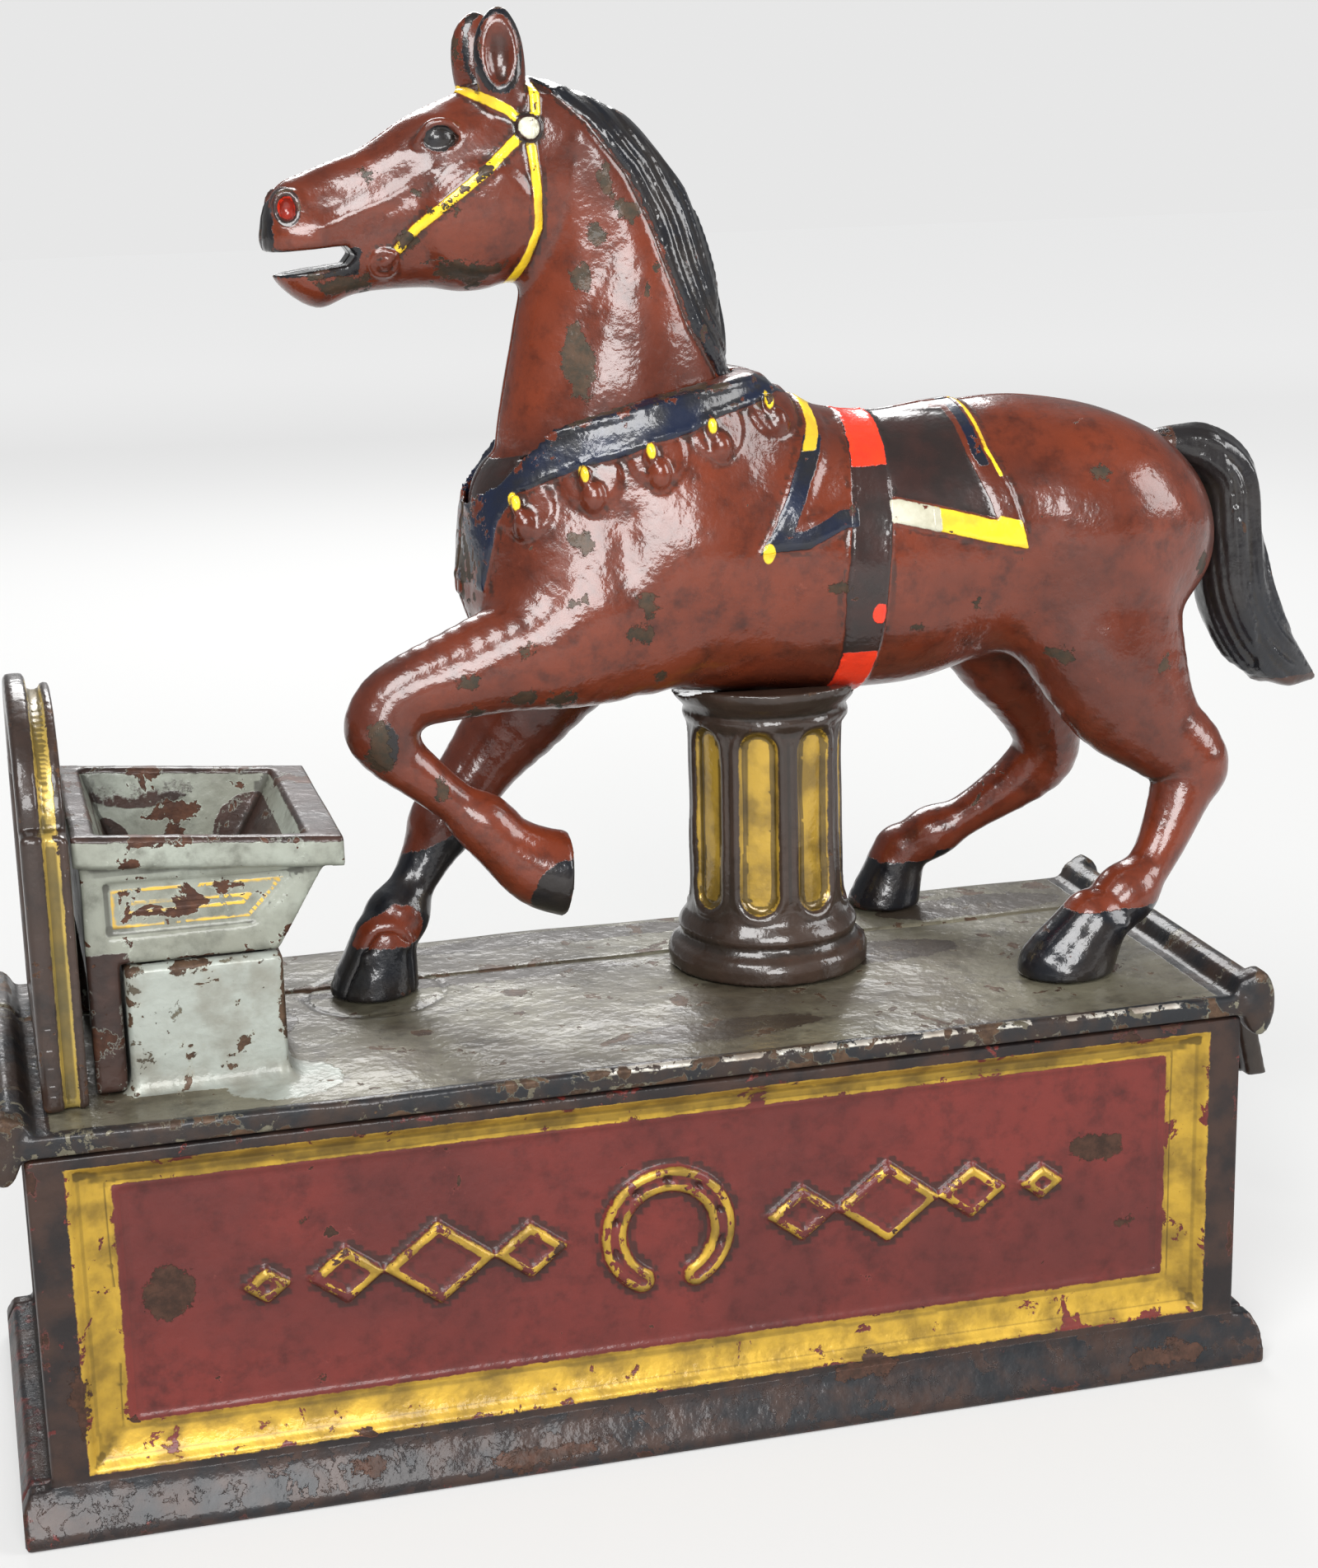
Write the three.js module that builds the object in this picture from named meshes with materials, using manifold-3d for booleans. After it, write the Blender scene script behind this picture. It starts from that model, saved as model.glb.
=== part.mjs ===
// A cast-iron mechanical coin bank: a horse on a fluted column above a box base.
// Pulling the lever at the tail end lifts a rod, which lowers the horse's head over the manger
// and drops the manger's trap floor, so that the coin falls from the mouth into the base.
//
// Millimetres, +Z up. +X points from the manger to the tail, and -Y is the front of the base.
// The origin is the middle of the base's underside.

import * as THREE from 'three';
import { mergeVertices } from 'three/addons/utils/BufferGeometryUtils.js';
import Module from 'manifold-3d';

const wasm = await Module();
wasm.setup();

// ---------------------------------------------------------------- driving dimensions

const GAP = 0.3;                 // between castings that touch
const RAD = Math.PI / 180;

const PLINTH_X = 92;             // half-length of the plinth
const PLINTH_Y = 35.2;           // half-depth of the plinth
const PLINTH_LIP = 1.6;
const PLINTH_TOP = 7.4;
const WALL_X = 87.8;
const WALL_Y = 32.25;
const WALL = 3;
const PANEL_TOP = 55.3;          // top edge of the four walls
const FRAME_X = 82.7;            // outer edge of the cove frame
const FRAME_Z = [8.9, 53.5];
const FIELD_X = 75.9;            // recessed field inside the cove frame
const FIELD_Z = [15.8, 49.4];
const FIELD_DEPTH = 2.2;

const DECK_TOP = 58.8;
const DECK_UNDER = PANEL_TOP + GAP;
const DECK_X = 88;
const DECK_Y = 33;
const SEAM_Y = 15.5;             // joint between the two deck castings
const PLATE = 2.5;               // thickness of the bottom plate
const HUGE = 200;                // reaches past everything, for cutting planes
const PIN_ROOM = 0.3;            // between a pin and its bore

const MID = 7;                   // the horse's middle plane, also the column's and the lever's
const COLUMN_X = 26.9;
const COLUMN_R = 11.8;
const COLUMN_TOP = 103.6;
const BORE_R = 7;
const SHELL = 2.4;               // wall of the hollow castings

const NECK_PIVOT = [-8, 132];
const NOD = 50;                  // degrees that the head lowers
const ROOT_R = 34.3;             // radius of the neck root about its pivot
const CRANK_R = 16;              // rod pin from the neck pivot
const LIFT = 2 * CRANK_R * Math.sin(NOD / 2 * RAD);

const PULL = 20;                 // degrees that the lever turns
const LEVER_Z = 40;
const LEVER_PIN_R = 1.8;
const LEVER_ARM = LIFT / (2 * Math.sin(PULL / 2 * RAD));
const LEVER_X = COLUMN_X + LEVER_ARM * Math.cos(PULL / 2 * RAD);
const LINK_ARM = 15;
const LINK_TRAVEL = 2 * LINK_ARM * Math.sin(PULL / 2 * RAD);
const FLAP_DROP = 60;
const FLAP_CRANK = LINK_TRAVEL / (2 * Math.sin(FLAP_DROP / 2 * RAD));

const RISER = { x: [-72.4, -51], y: [-22, 15], z: 77 };
const CHUTE = { x: [-70.6, -53], y: [-19.5, 13] };
const FLAP_HINGE = [-65, 75];
const TRAP = { x: [-62, -38], y: [-12, 12] };
const TRAP_HINGE = [-64, 2.7];
const SCREWS = [[-28, -14], [78, -16]];

// ---------------------------------------------------------------- materials

const finish = (color, roughness, metalness) =>
  new THREE.MeshStandardMaterial({ color, roughness, metalness });

const paint = {
  horse: finish(0x6b2a1c, 0.3, 0.1),
  black: finish(0x14161c, 0.3, 0.2),
  red: finish(0x5a2320, 0.45, 0.1),
  deck: finish(0x6f6c5c, 0.5, 0.3),
  column: finish(0x2c241d, 0.4, 0.3),
  manger: finish(0x8e9084, 0.5, 0.2),
  gold: finish(0x9a7a2a, 0.4, 0.3),
  iron: finish(0x4a4743, 0.5, 0.7),
  steel: finish(0x85878a, 0.35, 0.9),
};

// ---------------------------------------------------------------- solids

const toSolid = (geometry) => {
  const bare = geometry.clone();
  bare.deleteAttribute('normal');
  bare.deleteAttribute('uv');
  const merged = mergeVertices(bare, 1e-4);
  return new wasm.Manifold(new wasm.Mesh({
    numProp: 3,
    vertProperties: new Float32Array(merged.attributes.position.array),
    triVerts: new Uint32Array(merged.index.array),
  }));
};

const join = (...solids) => solids.reduce((a, b) => a.add(b));
const cut = (solid, ...tools) => tools.reduce((a, b) => a.subtract(b), solid);

// A box from its corner ranges.
const box = ([x0, x1], [y0, y1], [z0, z1]) => toSolid(
  new THREE.BoxGeometry(x1 - x0, y1 - y0, z1 - z0)
    .translate((x0 + x1) / 2, (y0 + y1) / 2, (z0 + z1) / 2));

// A cylinder along z at the place (x, y).
const post = (x, y, r, [z0, z1], sides = 16) => toSolid(
  new THREE.CylinderGeometry(r, r, z1 - z0, sides)
    .rotateX(Math.PI / 2)
    .translate(x, y, (z0 + z1) / 2));

// A cylinder along y through the place (x, z).
const crossPin = ([x, z], r, [y0, y1], sides = 14) => toSolid(
  new THREE.CylinderGeometry(r, r, y1 - y0, sides)
    .translate(x, (y0 + y1) / 2, z));

// A plate with an outline in x and z, from one y to another.
const sidePlate = (outline, [y0, y1], curveSegments = 6) => {
  const shape = outline instanceof THREE.Shape ? outline
    : new THREE.Shape(outline.map(([x, z]) => new THREE.Vector2(x, z)));
  const options = { depth: y1 - y0, bevelEnabled: false, curveSegments };
  const plate = new THREE.ExtrudeGeometry(shape, options);
  return toSolid(plate.rotateX(Math.PI / 2).translate(0, y1, 0));
};

// A plate with an outline in y and z, from one x to another.
const endPlate = (shape, [x0, x1], curveSegments = 10) => {
  const options = { depth: x1 - x0, bevelEnabled: false, curveSegments };
  const turn = new THREE.Matrix4().makeBasis(
    new THREE.Vector3(0, 1, 0), new THREE.Vector3(0, 0, 1), new THREE.Vector3(1, 0, 0));
  const plate = new THREE.ExtrudeGeometry(shape, options);
  return toSolid(plate.applyMatrix4(turn).translate(x0, 0, 0));
};

const lathe = (profile, sides) => {
  const line = profile.map(([r, z]) => new THREE.Vector2(r, z));
  return toSolid(new THREE.LatheGeometry(line, sides).rotateX(Math.PI / 2));
};

// A wire of round section along a list of points, with rounded corners.
const wire = (points, r, steps, sides = 8) => {
  const places = points.map((p) => new THREE.Vector3(...p));
  const path = new THREE.CatmullRomCurve3(places, false, 'centripetal');
  const section = new THREE.Shape().absarc(0, 0, r, 0, 2 * Math.PI);
  const options = { extrudePath: path, steps, curveSegments: sides / 2, bevelEnabled: false };
  return toSolid(new THREE.ExtrudeGeometry(section, options));
};

// A closed skin through rings of equal count, with a fan of triangles at each end.
const skin = (rings) => {
  const count = rings[0].length;
  const centre = (ring) => ring.reduce((a, p) => a.add(p), new THREE.Vector3()).divideScalar(count);
  const points = [...rings.flat(), centre(rings[0]), centre(rings[rings.length - 1])];
  const faces = [];
  const last = (rings.length - 1) * count;
  for (let j = 0; j < count; j += 1) {
    const next = (j + 1) % count;
    for (let i = 0; i < last; i += count) {
      faces.push(i + j, i + next, i + count + j);
      faces.push(i + next, i + count + next, i + count + j);
    }
    faces.push(last + count, next, j);
    faces.push(last + count + 1, last + j, last + next);
  }
  const geometry = new THREE.BufferGeometry().setFromPoints(points);
  geometry.setIndex(faces);
  const solid = toSolid(geometry);
  return solid.volume() > 0 ? solid : toSolid(geometry.setIndex(faces.reverse()));
};

// An oval section of the horse between two points of its side view, bulging halfWidth each way.
const oval = ([x0, z0], [x1, z1], halfWidth, sides, middle = MID) => {
  const ring = [];
  for (let i = 0; i < sides; i += 1) {
    const turn = 2 * Math.PI * i / sides;
    const along = (1 - Math.cos(turn)) / 2;
    ring.push(new THREE.Vector3(
      x0 + (x1 - x0) * along, middle + halfWidth * Math.sin(turn), z0 + (z1 - z0) * along));
  }
  return ring;
};

const grown = (a, b, by) => {
  const length = Math.hypot(b[0] - a[0], b[1] - a[1]);
  const step = [(b[0] - a[0]) / length * by, (b[1] - a[1]) / length * by];
  return [[a[0] - step[0], a[1] - step[1]], [b[0] + step[0], b[1] + step[1]]];
};

// A loft through sections [from, to, halfWidth, middle], each grown or shrunk by an amount.
const loft = (sections, sides, by = 0) => skin(sections.map(([a, b, halfWidth, middle]) =>
  oval(...grown(a, b, by), halfWidth + by, sides, middle)));

// A limb through joints [x, y, z, reach in the side view, reach sideways].
const limb = (joints, sides = 12) => {
  const places = joints.map(([x, y, z]) => new THREE.Vector3(x, y, z));
  const rings = joints.map(([x, y, z, reach, side], i) => {
    const ahead = places[Math.min(i + 1, places.length - 1)];
    const behind = places[Math.max(i - 1, 0)];
    const way = ahead.clone().sub(behind).setY(0).normalize();
    const across = new THREE.Vector3(-way.z, 0, way.x);
    const ring = [];
    for (let k = 0; k < sides; k += 1) {
      const turn = 2 * Math.PI * k / sides;
      ring.push(places[i].clone()
        .addScaledVector(across, reach * Math.cos(turn))
        .add(new THREE.Vector3(0, side * Math.sin(turn), 0)));
    }
    return ring;
  });
  return skin(rings);
};

const near = box([-HUGE, HUGE], [-HUGE, MID - GAP / 2], [-HUGE, 2 * HUGE]);
const far = box([-HUGE, HUGE], [MID + GAP / 2, HUGE], [-HUGE, 2 * HUGE]);
const through = [-HUGE, HUGE];
const polar = ([x, z], r, degrees) =>
  [x + r * Math.cos(degrees * RAD), z + r * Math.sin(degrees * RAD)];

// ---------------------------------------------------------------- the group

const bank = new THREE.Group();

const add = (name, solid, material) => {
  const raw = solid.getMesh();
  const geometry = new THREE.BufferGeometry();
  geometry.setAttribute('position', new THREE.BufferAttribute(new Float32Array(raw.vertProperties), 3));
  geometry.setIndex(new THREE.BufferAttribute(new Uint32Array(raw.triVerts), 1));
  geometry.computeVertexNormals();
  const mesh = new THREE.Mesh(geometry, material);
  mesh.name = name;
  bank.add(mesh);
};

// ---------------------------------------------------------------- base box

// The long wall's section: a plinth skirt, a wall, and on each side of the field a sloping cove.
const longWall = (side) => {
  const out = (y) => side * y;
  const skirt = endPlate(new THREE.Shape([
    [out(PLINTH_Y), 0], [out(PLINTH_Y), PLINTH_LIP], [out(WALL_Y + 0.4), PLINTH_TOP],
    [out(WALL_Y - WALL), PLINTH_TOP], [out(WALL_Y - WALL), 0],
  ].map((p) => new THREE.Vector2(...p))), [-PLINTH_X, PLINTH_X]);
  const span = (a, b) => (side < 0 ? [-b, -a] : [a, b]);
  const wall = box([-WALL_X, WALL_X], span(WALL_Y - WALL, WALL_Y), [PLINTH_TOP - 1, PANEL_TOP]);
  const back = box([-FIELD_X - 4, FIELD_X + 4], span(WALL_Y - FIELD_DEPTH - WALL, WALL_Y - WALL + 0.5),
    [FIELD_Z[0] - 3, FIELD_Z[1] + 2]);
  const ringAt = (x, [z0, z1], y) => [[-x, z0], [x, z0], [x, z1], [-x, z1]]
    .map(([px, pz]) => new THREE.Vector3(px, out(y), pz));
  const field = skin([
    ringAt(FRAME_X, FRAME_Z, WALL_Y + 0.01),
    ringAt(FIELD_X, FIELD_Z, WALL_Y - FIELD_DEPTH)]);
  return cut(join(skirt, wall, back), field);
};

const SHOE_R = [6, 10];
const LOZENGES = [[20, 4.5], [33, 6.5], [46, 4.5], [57, 3]]; // [distance from the middle, half-height]

// A horseshoe between two rows of lozenges, standing a little proud of the field.
const ornament = () => {
  const proud = [-WALL_Y + FIELD_DEPTH - 1.1, -WALL_Y + FIELD_DEPTH + 0.4];
  const middle = (FIELD_Z[0] + FIELD_Z[1]) / 2;
  const shoe = new THREE.Shape();
  shoe.absarc(0, middle, SHOE_R[1], -60 * RAD, 240 * RAD);
  shoe.absarc(0, middle, SHOE_R[0], 240 * RAD, -60 * RAD, true);
  const pieces = [sidePlate(shoe, proud, 16)];
  for (const side of [-1, 1]) {
    for (const [place, half] of LOZENGES) {
      const x = side * place;
      const wide = half * 1.3;
      const corners = [[x - wide, middle], [x, middle - half], [x + wide, middle], [x, middle + half]];
      pieces.push(sidePlate(corners, proud));
    }
  }
  return join(...pieces);
};

// An end wall between the long walls, with the same skirt.
const shortWall = (side, slots = []) => {
  const inner = WALL_Y - WALL - GAP;
  const outline = [
    [side * PLINTH_X, 0], [side * PLINTH_X, PLINTH_LIP], [side * (WALL_X - 0.4), PLINTH_TOP],
    [side * (WALL_X - 0.4), PANEL_TOP], [side * (WALL_X - WALL), PANEL_TOP], [side * (WALL_X - WALL), 0],
  ];
  return cut(sidePlate(outline, [-inner, inner]), ...slots);
};

add('front_panel', join(longWall(-1), ornament()), paint.red);
add('rear_panel', longWall(1), paint.red);
add('left_end_plate', shortWall(-1), paint.red);
add('right_end_plate', shortWall(1, [box([70, 100], [MID - 3.2, MID + 3.2], [30, 50])]), paint.red);

const TRAP_PIN_R = 1;
const SCREW_R = 1.8;
const SPRING_X = 45;

const bottomPlate = () => {
  const x = WALL_X - WALL - GAP;
  const y = WALL_Y - WALL - GAP;
  const plate = box([-x, x], [-y, y], [0, PLATE]);
  const doorway = box(
    [TRAP_HINGE[0] - 2.9, TRAP.x[1] + GAP], [TRAP.y[0] - GAP, TRAP.y[1] + GAP], [-1, PLATE + 1]);
  const lugs = [-1, 1].map((side) => {
    const span = side < 0 ? [TRAP.y[0] - 2.8, TRAP.y[0] - 0.4] : [TRAP.y[1] + 0.4, TRAP.y[1] + 2.8];
    return box([TRAP_HINGE[0] - 2.4, TRAP_HINGE[0] + 2.4], span, [PLATE - 0.5, TRAP_HINGE[1] + 2.6]);
  });
  const anchor = cut(
    box([SPRING_X - 1.4, SPRING_X + 1.4], [MID - 1.5, MID + 1.5], [PLATE - 0.5, 9]),
    crossPin([SPRING_X, 7], 1.2, through));
  const wells = SCREWS.flatMap(([px, py]) =>
    [post(px, py, SCREW_R + 0.4, [-1, PLATE + 1]), post(px, py, 4.4, [-1, 1.6])]);
  return cut(join(plate, ...lugs, anchor), doorway,
    crossPin(TRAP_HINGE, TRAP_PIN_R + PIN_ROOM, through), ...wells);
};
add('bottom_plate', bottomPlate(), paint.iron);

const trapDoor = () => {
  const leaf = box([TRAP.x[0] + 0.2, TRAP.x[1]], TRAP.y, [0.5, 2.1]);
  const width = [TRAP.y[0] + 0.2, TRAP.y[1] - 0.2];
  const knuckle = join(
    crossPin(TRAP_HINGE, 1.9, width), box([TRAP_HINGE[0], TRAP.x[0] + 1], width, [0.9, 2.1]));
  return cut(join(leaf, knuckle), crossPin(TRAP_HINGE, TRAP_PIN_R + PIN_ROOM, through),
    post(TRAP.x[1] - 6, 0, 3.3, [-1, PLATE + 1]));
};
add('coin_trap', trapDoor(), paint.iron);
add('coin_trap_pin',
  crossPin(TRAP_HINGE, TRAP_PIN_R, [TRAP.y[0] - 2.6, TRAP.y[1] + 2.6], 12), paint.steel);

const trapLock = () => {
  const x = TRAP.x[1] - 6;
  const barrel = join(post(x, 0, 3, [0.4, 4]), box([x - 2, x + 2], [-9, 2], [2.9, 4.2]));
  return cut(barrel, box([x - 0.6, x + 0.6], [-1.9, 1.9], [-1, 2]));
};
add('trap_lock', trapLock(), paint.steel);

SCREWS.forEach(([x, y], i) => {
  const head = cut(post(x, y, 4, [0.3, 1.3]), box([x - 5, x + 5], [y - 0.5, y + 0.5], [-1, 0.8]));
  add(`tie_screw_${i + 1}`, join(head, post(x, y, SCREW_R, [1, 52], 12)), paint.steel);
});

// ---------------------------------------------------------------- deck castings

const hoofPegs = { nearHind: [67, -14.5], farHind: [53, 27], farFore: [-34, 10.5] };
const PEG_R = 1.6;
const pegHole = ([x, y]) => post(x, y, PEG_R + 0.4, [DECK_UNDER - 5, DECK_TOP + 1], 12);

// The turned-up end of the deck, with two ribs.
const deckEnd = (side, span) => {
  const x = (a) => side * (DECK_X + a);
  return sidePlate(new THREE.Shape()
    .moveTo(x(-0.5), DECK_UNDER)
    .lineTo(x(1.4), DECK_UNDER - 1)
    .quadraticCurveTo(x(3.4), DECK_UNDER + 1, x(1.8), DECK_TOP)
    .quadraticCurveTo(x(3.2), DECK_TOP + 1.6, x(1.2), DECK_TOP + 2.6)
    .lineTo(x(-0.6), DECK_TOP + 2), span, 3);
};

// The rounded lugs at a deck casting's two outer corners.
const deckLugs = (span) => [-1, 1].map((side) => sidePlate(
  new THREE.Shape().absellipse(side * (DECK_X + 2.4), DECK_TOP - 1.6, 2.5, 5, 0, 2 * Math.PI), span, 8));

const nearDeck = () => {
  const slab = box([-DECK_X, DECK_X], [-DECK_Y, SEAM_Y - GAP / 2], [DECK_UNDER, DECK_TOP]);
  const ends = [-1, 1].map((side) => deckEnd(side, [-DECK_Y + 0.5, SEAM_Y - GAP / 2]));
  const lugs = deckLugs([-DECK_Y - 0.4, -DECK_Y + 4]);
  const riser = box(RISER.x, RISER.y, [DECK_TOP - 1, RISER.z]);
  const chute = box(CHUTE.x, CHUTE.y, [DECK_UNDER - 1, RISER.z + 1]);
  const hangers = [[MID - 5, MID - 2.5], [MID + 2.5, MID + 5]].map((span) =>
    box([LEVER_X - 4, LEVER_X + 4], span, [LEVER_Z - 4, DECK_UNDER + 1]));
  const bosses = SCREWS.map(([x, y]) => post(x, y, 4.5, [46, DECK_UNDER + 1]));
  const threads = SCREWS.map(([x, y]) => post(x, y, SCREW_R + 0.4, [40, 53], 12));
  return cut(join(slab, ...ends, ...lugs, riser, ...hangers, ...bosses), chute, ...threads,
    post(COLUMN_X, MID, BORE_R, [50, 60]),
    crossPin([LEVER_X, LEVER_Z], LEVER_PIN_R + PIN_ROOM, [0, 2 * MID]),
    pegHole(hoofPegs.nearHind), pegHole(hoofPegs.farFore));
};
add('near_deck', nearDeck(), paint.deck);

const farDeck = () => {
  const slab = box([-DECK_X, DECK_X], [SEAM_Y + GAP / 2, DECK_Y], [DECK_UNDER, DECK_TOP]);
  const ends = [-1, 1].map((side) => deckEnd(side, [SEAM_Y + GAP / 2, DECK_Y - 0.5]));
  const lugs = deckLugs([DECK_Y - 4, DECK_Y + 0.4]);
  return cut(join(slab, ...ends, ...lugs), pegHole(hoofPegs.farHind));
};
add('far_deck', farDeck(), paint.deck);

// ---------------------------------------------------------------- manger and end board

// An arched outline: straight sides to a shoulder, a small step in, then a round head.
const archOutline = (halfWidth, shoulder, step, top) => {
  const r = halfWidth - step;
  const shape = new THREE.Shape().moveTo(-halfWidth, DECK_TOP + GAP).lineTo(halfWidth, DECK_TOP + GAP)
    .lineTo(halfWidth, shoulder).lineTo(r, shoulder);
  shape.absellipse(0, shoulder, r, top - shoulder, 0, Math.PI);
  return shape.lineTo(-halfWidth, shoulder);
};

const endBoard = () => join(
  endPlate(archOutline(26, 97.5, 4, 113.5), [-84.6, -81.6]),
  endPlate(archOutline(24.4, 97, 3.6, 111), [-81.7, -79.2]),
  endPlate(archOutline(25, 96.6, 4, 112), [-79.3, -78.4]));
add('end_board', endBoard(), paint.gold);

const FLAP_PIN_R = 0.95;

const manger = () => {
  const floor = RISER.z + GAP;
  const tilt = (x) => 95.9 - (x + 78) * 0.09;          // the rim falls a little towards the horse
  const front = -22;
  const rear = 20;
  const outer = sidePlate([
    [-77.2, DECK_TOP + GAP], [-72.9, DECK_TOP + GAP], [-72.9, floor], [-51.4, floor],
    [-44.6, tilt(-44.6) - 4.4], [-44.6, tilt(-44.6) - 1], [-77.2, tilt(-77.2) - 1],
  ], [front + 1.2, rear - 1.2]);
  const rim = sidePlate([[-78, tilt(-78) - 4.4], [-41.8, tilt(-41.8) - 4.2], [-41.8, tilt(-41.8)],
    [-78, tilt(-78)]], [front, rear]);
  const hollow = skin([
    [[-69.4, front + 4], [-54.6, front + 4], [-54.6, rear - 4], [-69.4, rear - 4]]
      .map(([x, y]) => new THREE.Vector3(x, y, floor + 2)),
    [[-75.4, front + 2.2], [-44.4, front + 2.2], [-44.4, rear - 2.2], [-75.4, rear - 2.2]]
      .map(([x, y]) => new THREE.Vector3(x, y, 97))]);
  const mouth = box([-63.2, -56], [-17.6, 7], [floor - 1, floor + 3]);
  const legSpace = box([-80, -70], [front + 6, rear - 6], [DECK_TOP - 1, 74]);
  const panel = sidePlate(
    [[-74.4, 81.2], [-54.5, 81.2], [-47.6, 88.4], [-74.4, 88.8]], [front, front + 1.8]);
  const lugs = [[-19.1, -17.4], [10.1, 11.7]].map((span) =>
    box([FLAP_HINGE[0] - 1.9, FLAP_HINGE[0] + 1.9], span, [FLAP_HINGE[1] - 1.6, floor + 0.5]));
  return cut(join(outer, rim, ...lugs), hollow, mouth, legSpace, panel,
    crossPin(FLAP_HINGE, FLAP_PIN_R + 0.25, through, 12));
};
add('manger', manger(), paint.manger);

const flapCrankPlace = polar(FLAP_HINGE, FLAP_CRANK, -90 + FLAP_DROP / 2);

const mangerFlap = () => {
  const leaf = box([FLAP_HINGE[0], -54.3], [-16.9, 7.6], [FLAP_HINGE[1] + 0.4, FLAP_HINGE[1] + 1.8]);
  const tube = crossPin(FLAP_HINGE, 1.8, [-16.9, 9.8], 16);
  const across = new THREE.Vector2(...flapCrankPlace).sub(new THREE.Vector2(...FLAP_HINGE)).normalize();
  const side = new THREE.Vector2(-across.y, across.x);
  const strip = (from, to, half) => [[from, half], [to, half], [to, -half], [from, -half]]
    .map(([a, s]) => [
      FLAP_HINGE[0] + across.x * a + side.x * s, FLAP_HINGE[1] + across.y * a + side.y * s]);
  const thick = [8.2, 9.8];
  const crank = join(sidePlate(strip(0, FLAP_CRANK, 2.4), thick), crossPin(flapCrankPlace, 2.6, thick, 16));
  const slot = sidePlate(strip(FLAP_CRANK - 1.4, FLAP_CRANK + 1.5, 1.35), [7, 11]);
  return cut(join(leaf, tube, crank), slot, crossPin(FLAP_HINGE, FLAP_PIN_R + 0.25, through, 12));
};
add('manger_flap', mangerFlap(), paint.iron);
add('manger_flap_pin', crossPin(FLAP_HINGE, FLAP_PIN_R, [-19, 11.6], 12), paint.steel);

// ---------------------------------------------------------------- horse body

const BODY = [ // [back point, belly point, half-width]
  [[-18.6, 125], [-18.6, 119], 3], [[-17.4, 131], [-17.6, 114.5], 8], [[-14, 136.5], [-14.5, 110.2], 12.5],
  [[-8, 140], [-9, 107], 15.8], [[0, 142], [-1, 104.8], 17.4], [[10, 144], [9, 103.4], 18.3],
  [[20, 146], [19, 102.2], 18.6], [[30, 144.6], [30, 101.4], 18.6], [[40, 142.6], [40, 101], 18.4],
  [[50, 142.8], [50, 101.8], 18.2], [[60, 143.8], [60, 104], 18.2], [[70, 143.5], [70, 106.5], 18.4],
  [[79, 141.5], [78, 108], 17.8], [[87, 138.3], [85, 108], 15.5], [[93, 133.6], [91.5, 110], 12],
  [[97.4, 127.5], [96.6, 113], 7.5], [[98.8, 122.5], [98.6, 117], 3]];
const COLLAR = [ // a ring round the base of the neck
  [[-18, 122], [33, 128], 14], [[-17.6, 131], [31, 139], 16], [[-16.6, 137], [28, 145.5], 16.2],
  [[-15.6, 140.4], [24.6, 151], 14.6]];

// The legs, as joints [x, y, z, reach in the side view, reach sideways].
const hindNear = [
  [76, -1, 122, 17, 9], [76.5, -3, 112, 14, 9], [80.4, -5, 100, 10.4, 8], [85.2, -6.5, 93.6, 7.4, 6],
  [90.4, -7.5, 88.6, 6.4, 5], [88.6, -8.5, 83.4, 4.9, 4.4], [83.2, -11, 74.6, 3.7, 3.8],
  [77.4, -13, 69.4, 4.2, 4.2], [72.2, -14, 66, 4.6, 4.6]];
const hindFar = [
  [70, 15, 118, 16, 9], [71, 17, 108, 13, 9], [75, 18.6, 97, 8, 7], [78.4, 20, 88, 5.6, 5.5],
  [77.6, 21, 82.2, 5.4, 4.6], [68, 23, 75.2, 3.4, 3.6], [60.6, 25, 70.6, 3.6, 3.8],
  [56.4, 26.5, 68.4, 4.2, 4.2]];
const foreNear = [
  [2, -3, 117, 13, 8], [-8, -5, 113.4, 9.4, 7.4], [-18, -6, 111.4, 7.2, 6.2],
  [-28, -6.4, 108.8, 5.4, 5.2], [-33.4, -6.6, 105.8, 5, 5], [-33, -6.8, 101, 4.4, 4.6],
  [-27.6, -7, 95.6, 3.5, 3.8], [-21.6, -7, 90.4, 3.4, 3.8], [-17.8, -7, 86.6, 4.2, 4.4]];
const foreFar = [
  [2, 19, 112, 12, 8], [-7, 19.4, 100, 8, 7], [-14.6, 19, 91, 5.8, 5.6], [-20.6, 17.6, 83, 4.9, 5],
  [-26.2, 15, 75, 3.5, 3.8], [-30, 12.6, 69.4, 4.4, 4.4], [-32, 11.4, 66.6, 4.7, 4.6]];

const HOOF_SIDES = 14;
const levelRing = (x, y, z, reach, side) => {
  const ring = [];
  for (let k = 0; k < HOOF_SIDES; k += 1) {
    const turn = 2 * Math.PI * k / HOOF_SIDES;
    ring.push(new THREE.Vector3(x + reach * Math.cos(turn), y + side * Math.sin(turn), z));
  }
  return ring;
};

// A hoof that stands on the deck, with a peg into it.
const standingHoof = ([x, y], top, reach, lean) => join(
  skin([
    levelRing(x + lean, y, top, reach * 0.66, reach * 0.66),
    levelRing(x, y, DECK_TOP + GAP, reach, reach * 0.9)]),
  post(x, y, PEG_R, [DECK_UNDER - 1, DECK_TOP + 2], 12));
const raisedHoof = limb(
  [[-18.6, -7, 87.4, 4.2, 4.4], [-14.8, -7, 83.6, 5.4, 5.4], [-9.4, -7, 80.4, 7, 6.2]], 16);

const RIVETS = [{ at: [4, 110], half: 16 }, { at: [86, 122], half: 13.5 }];
const RIVET_R = 1.5;
const BODY_SIDES = 20;

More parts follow.
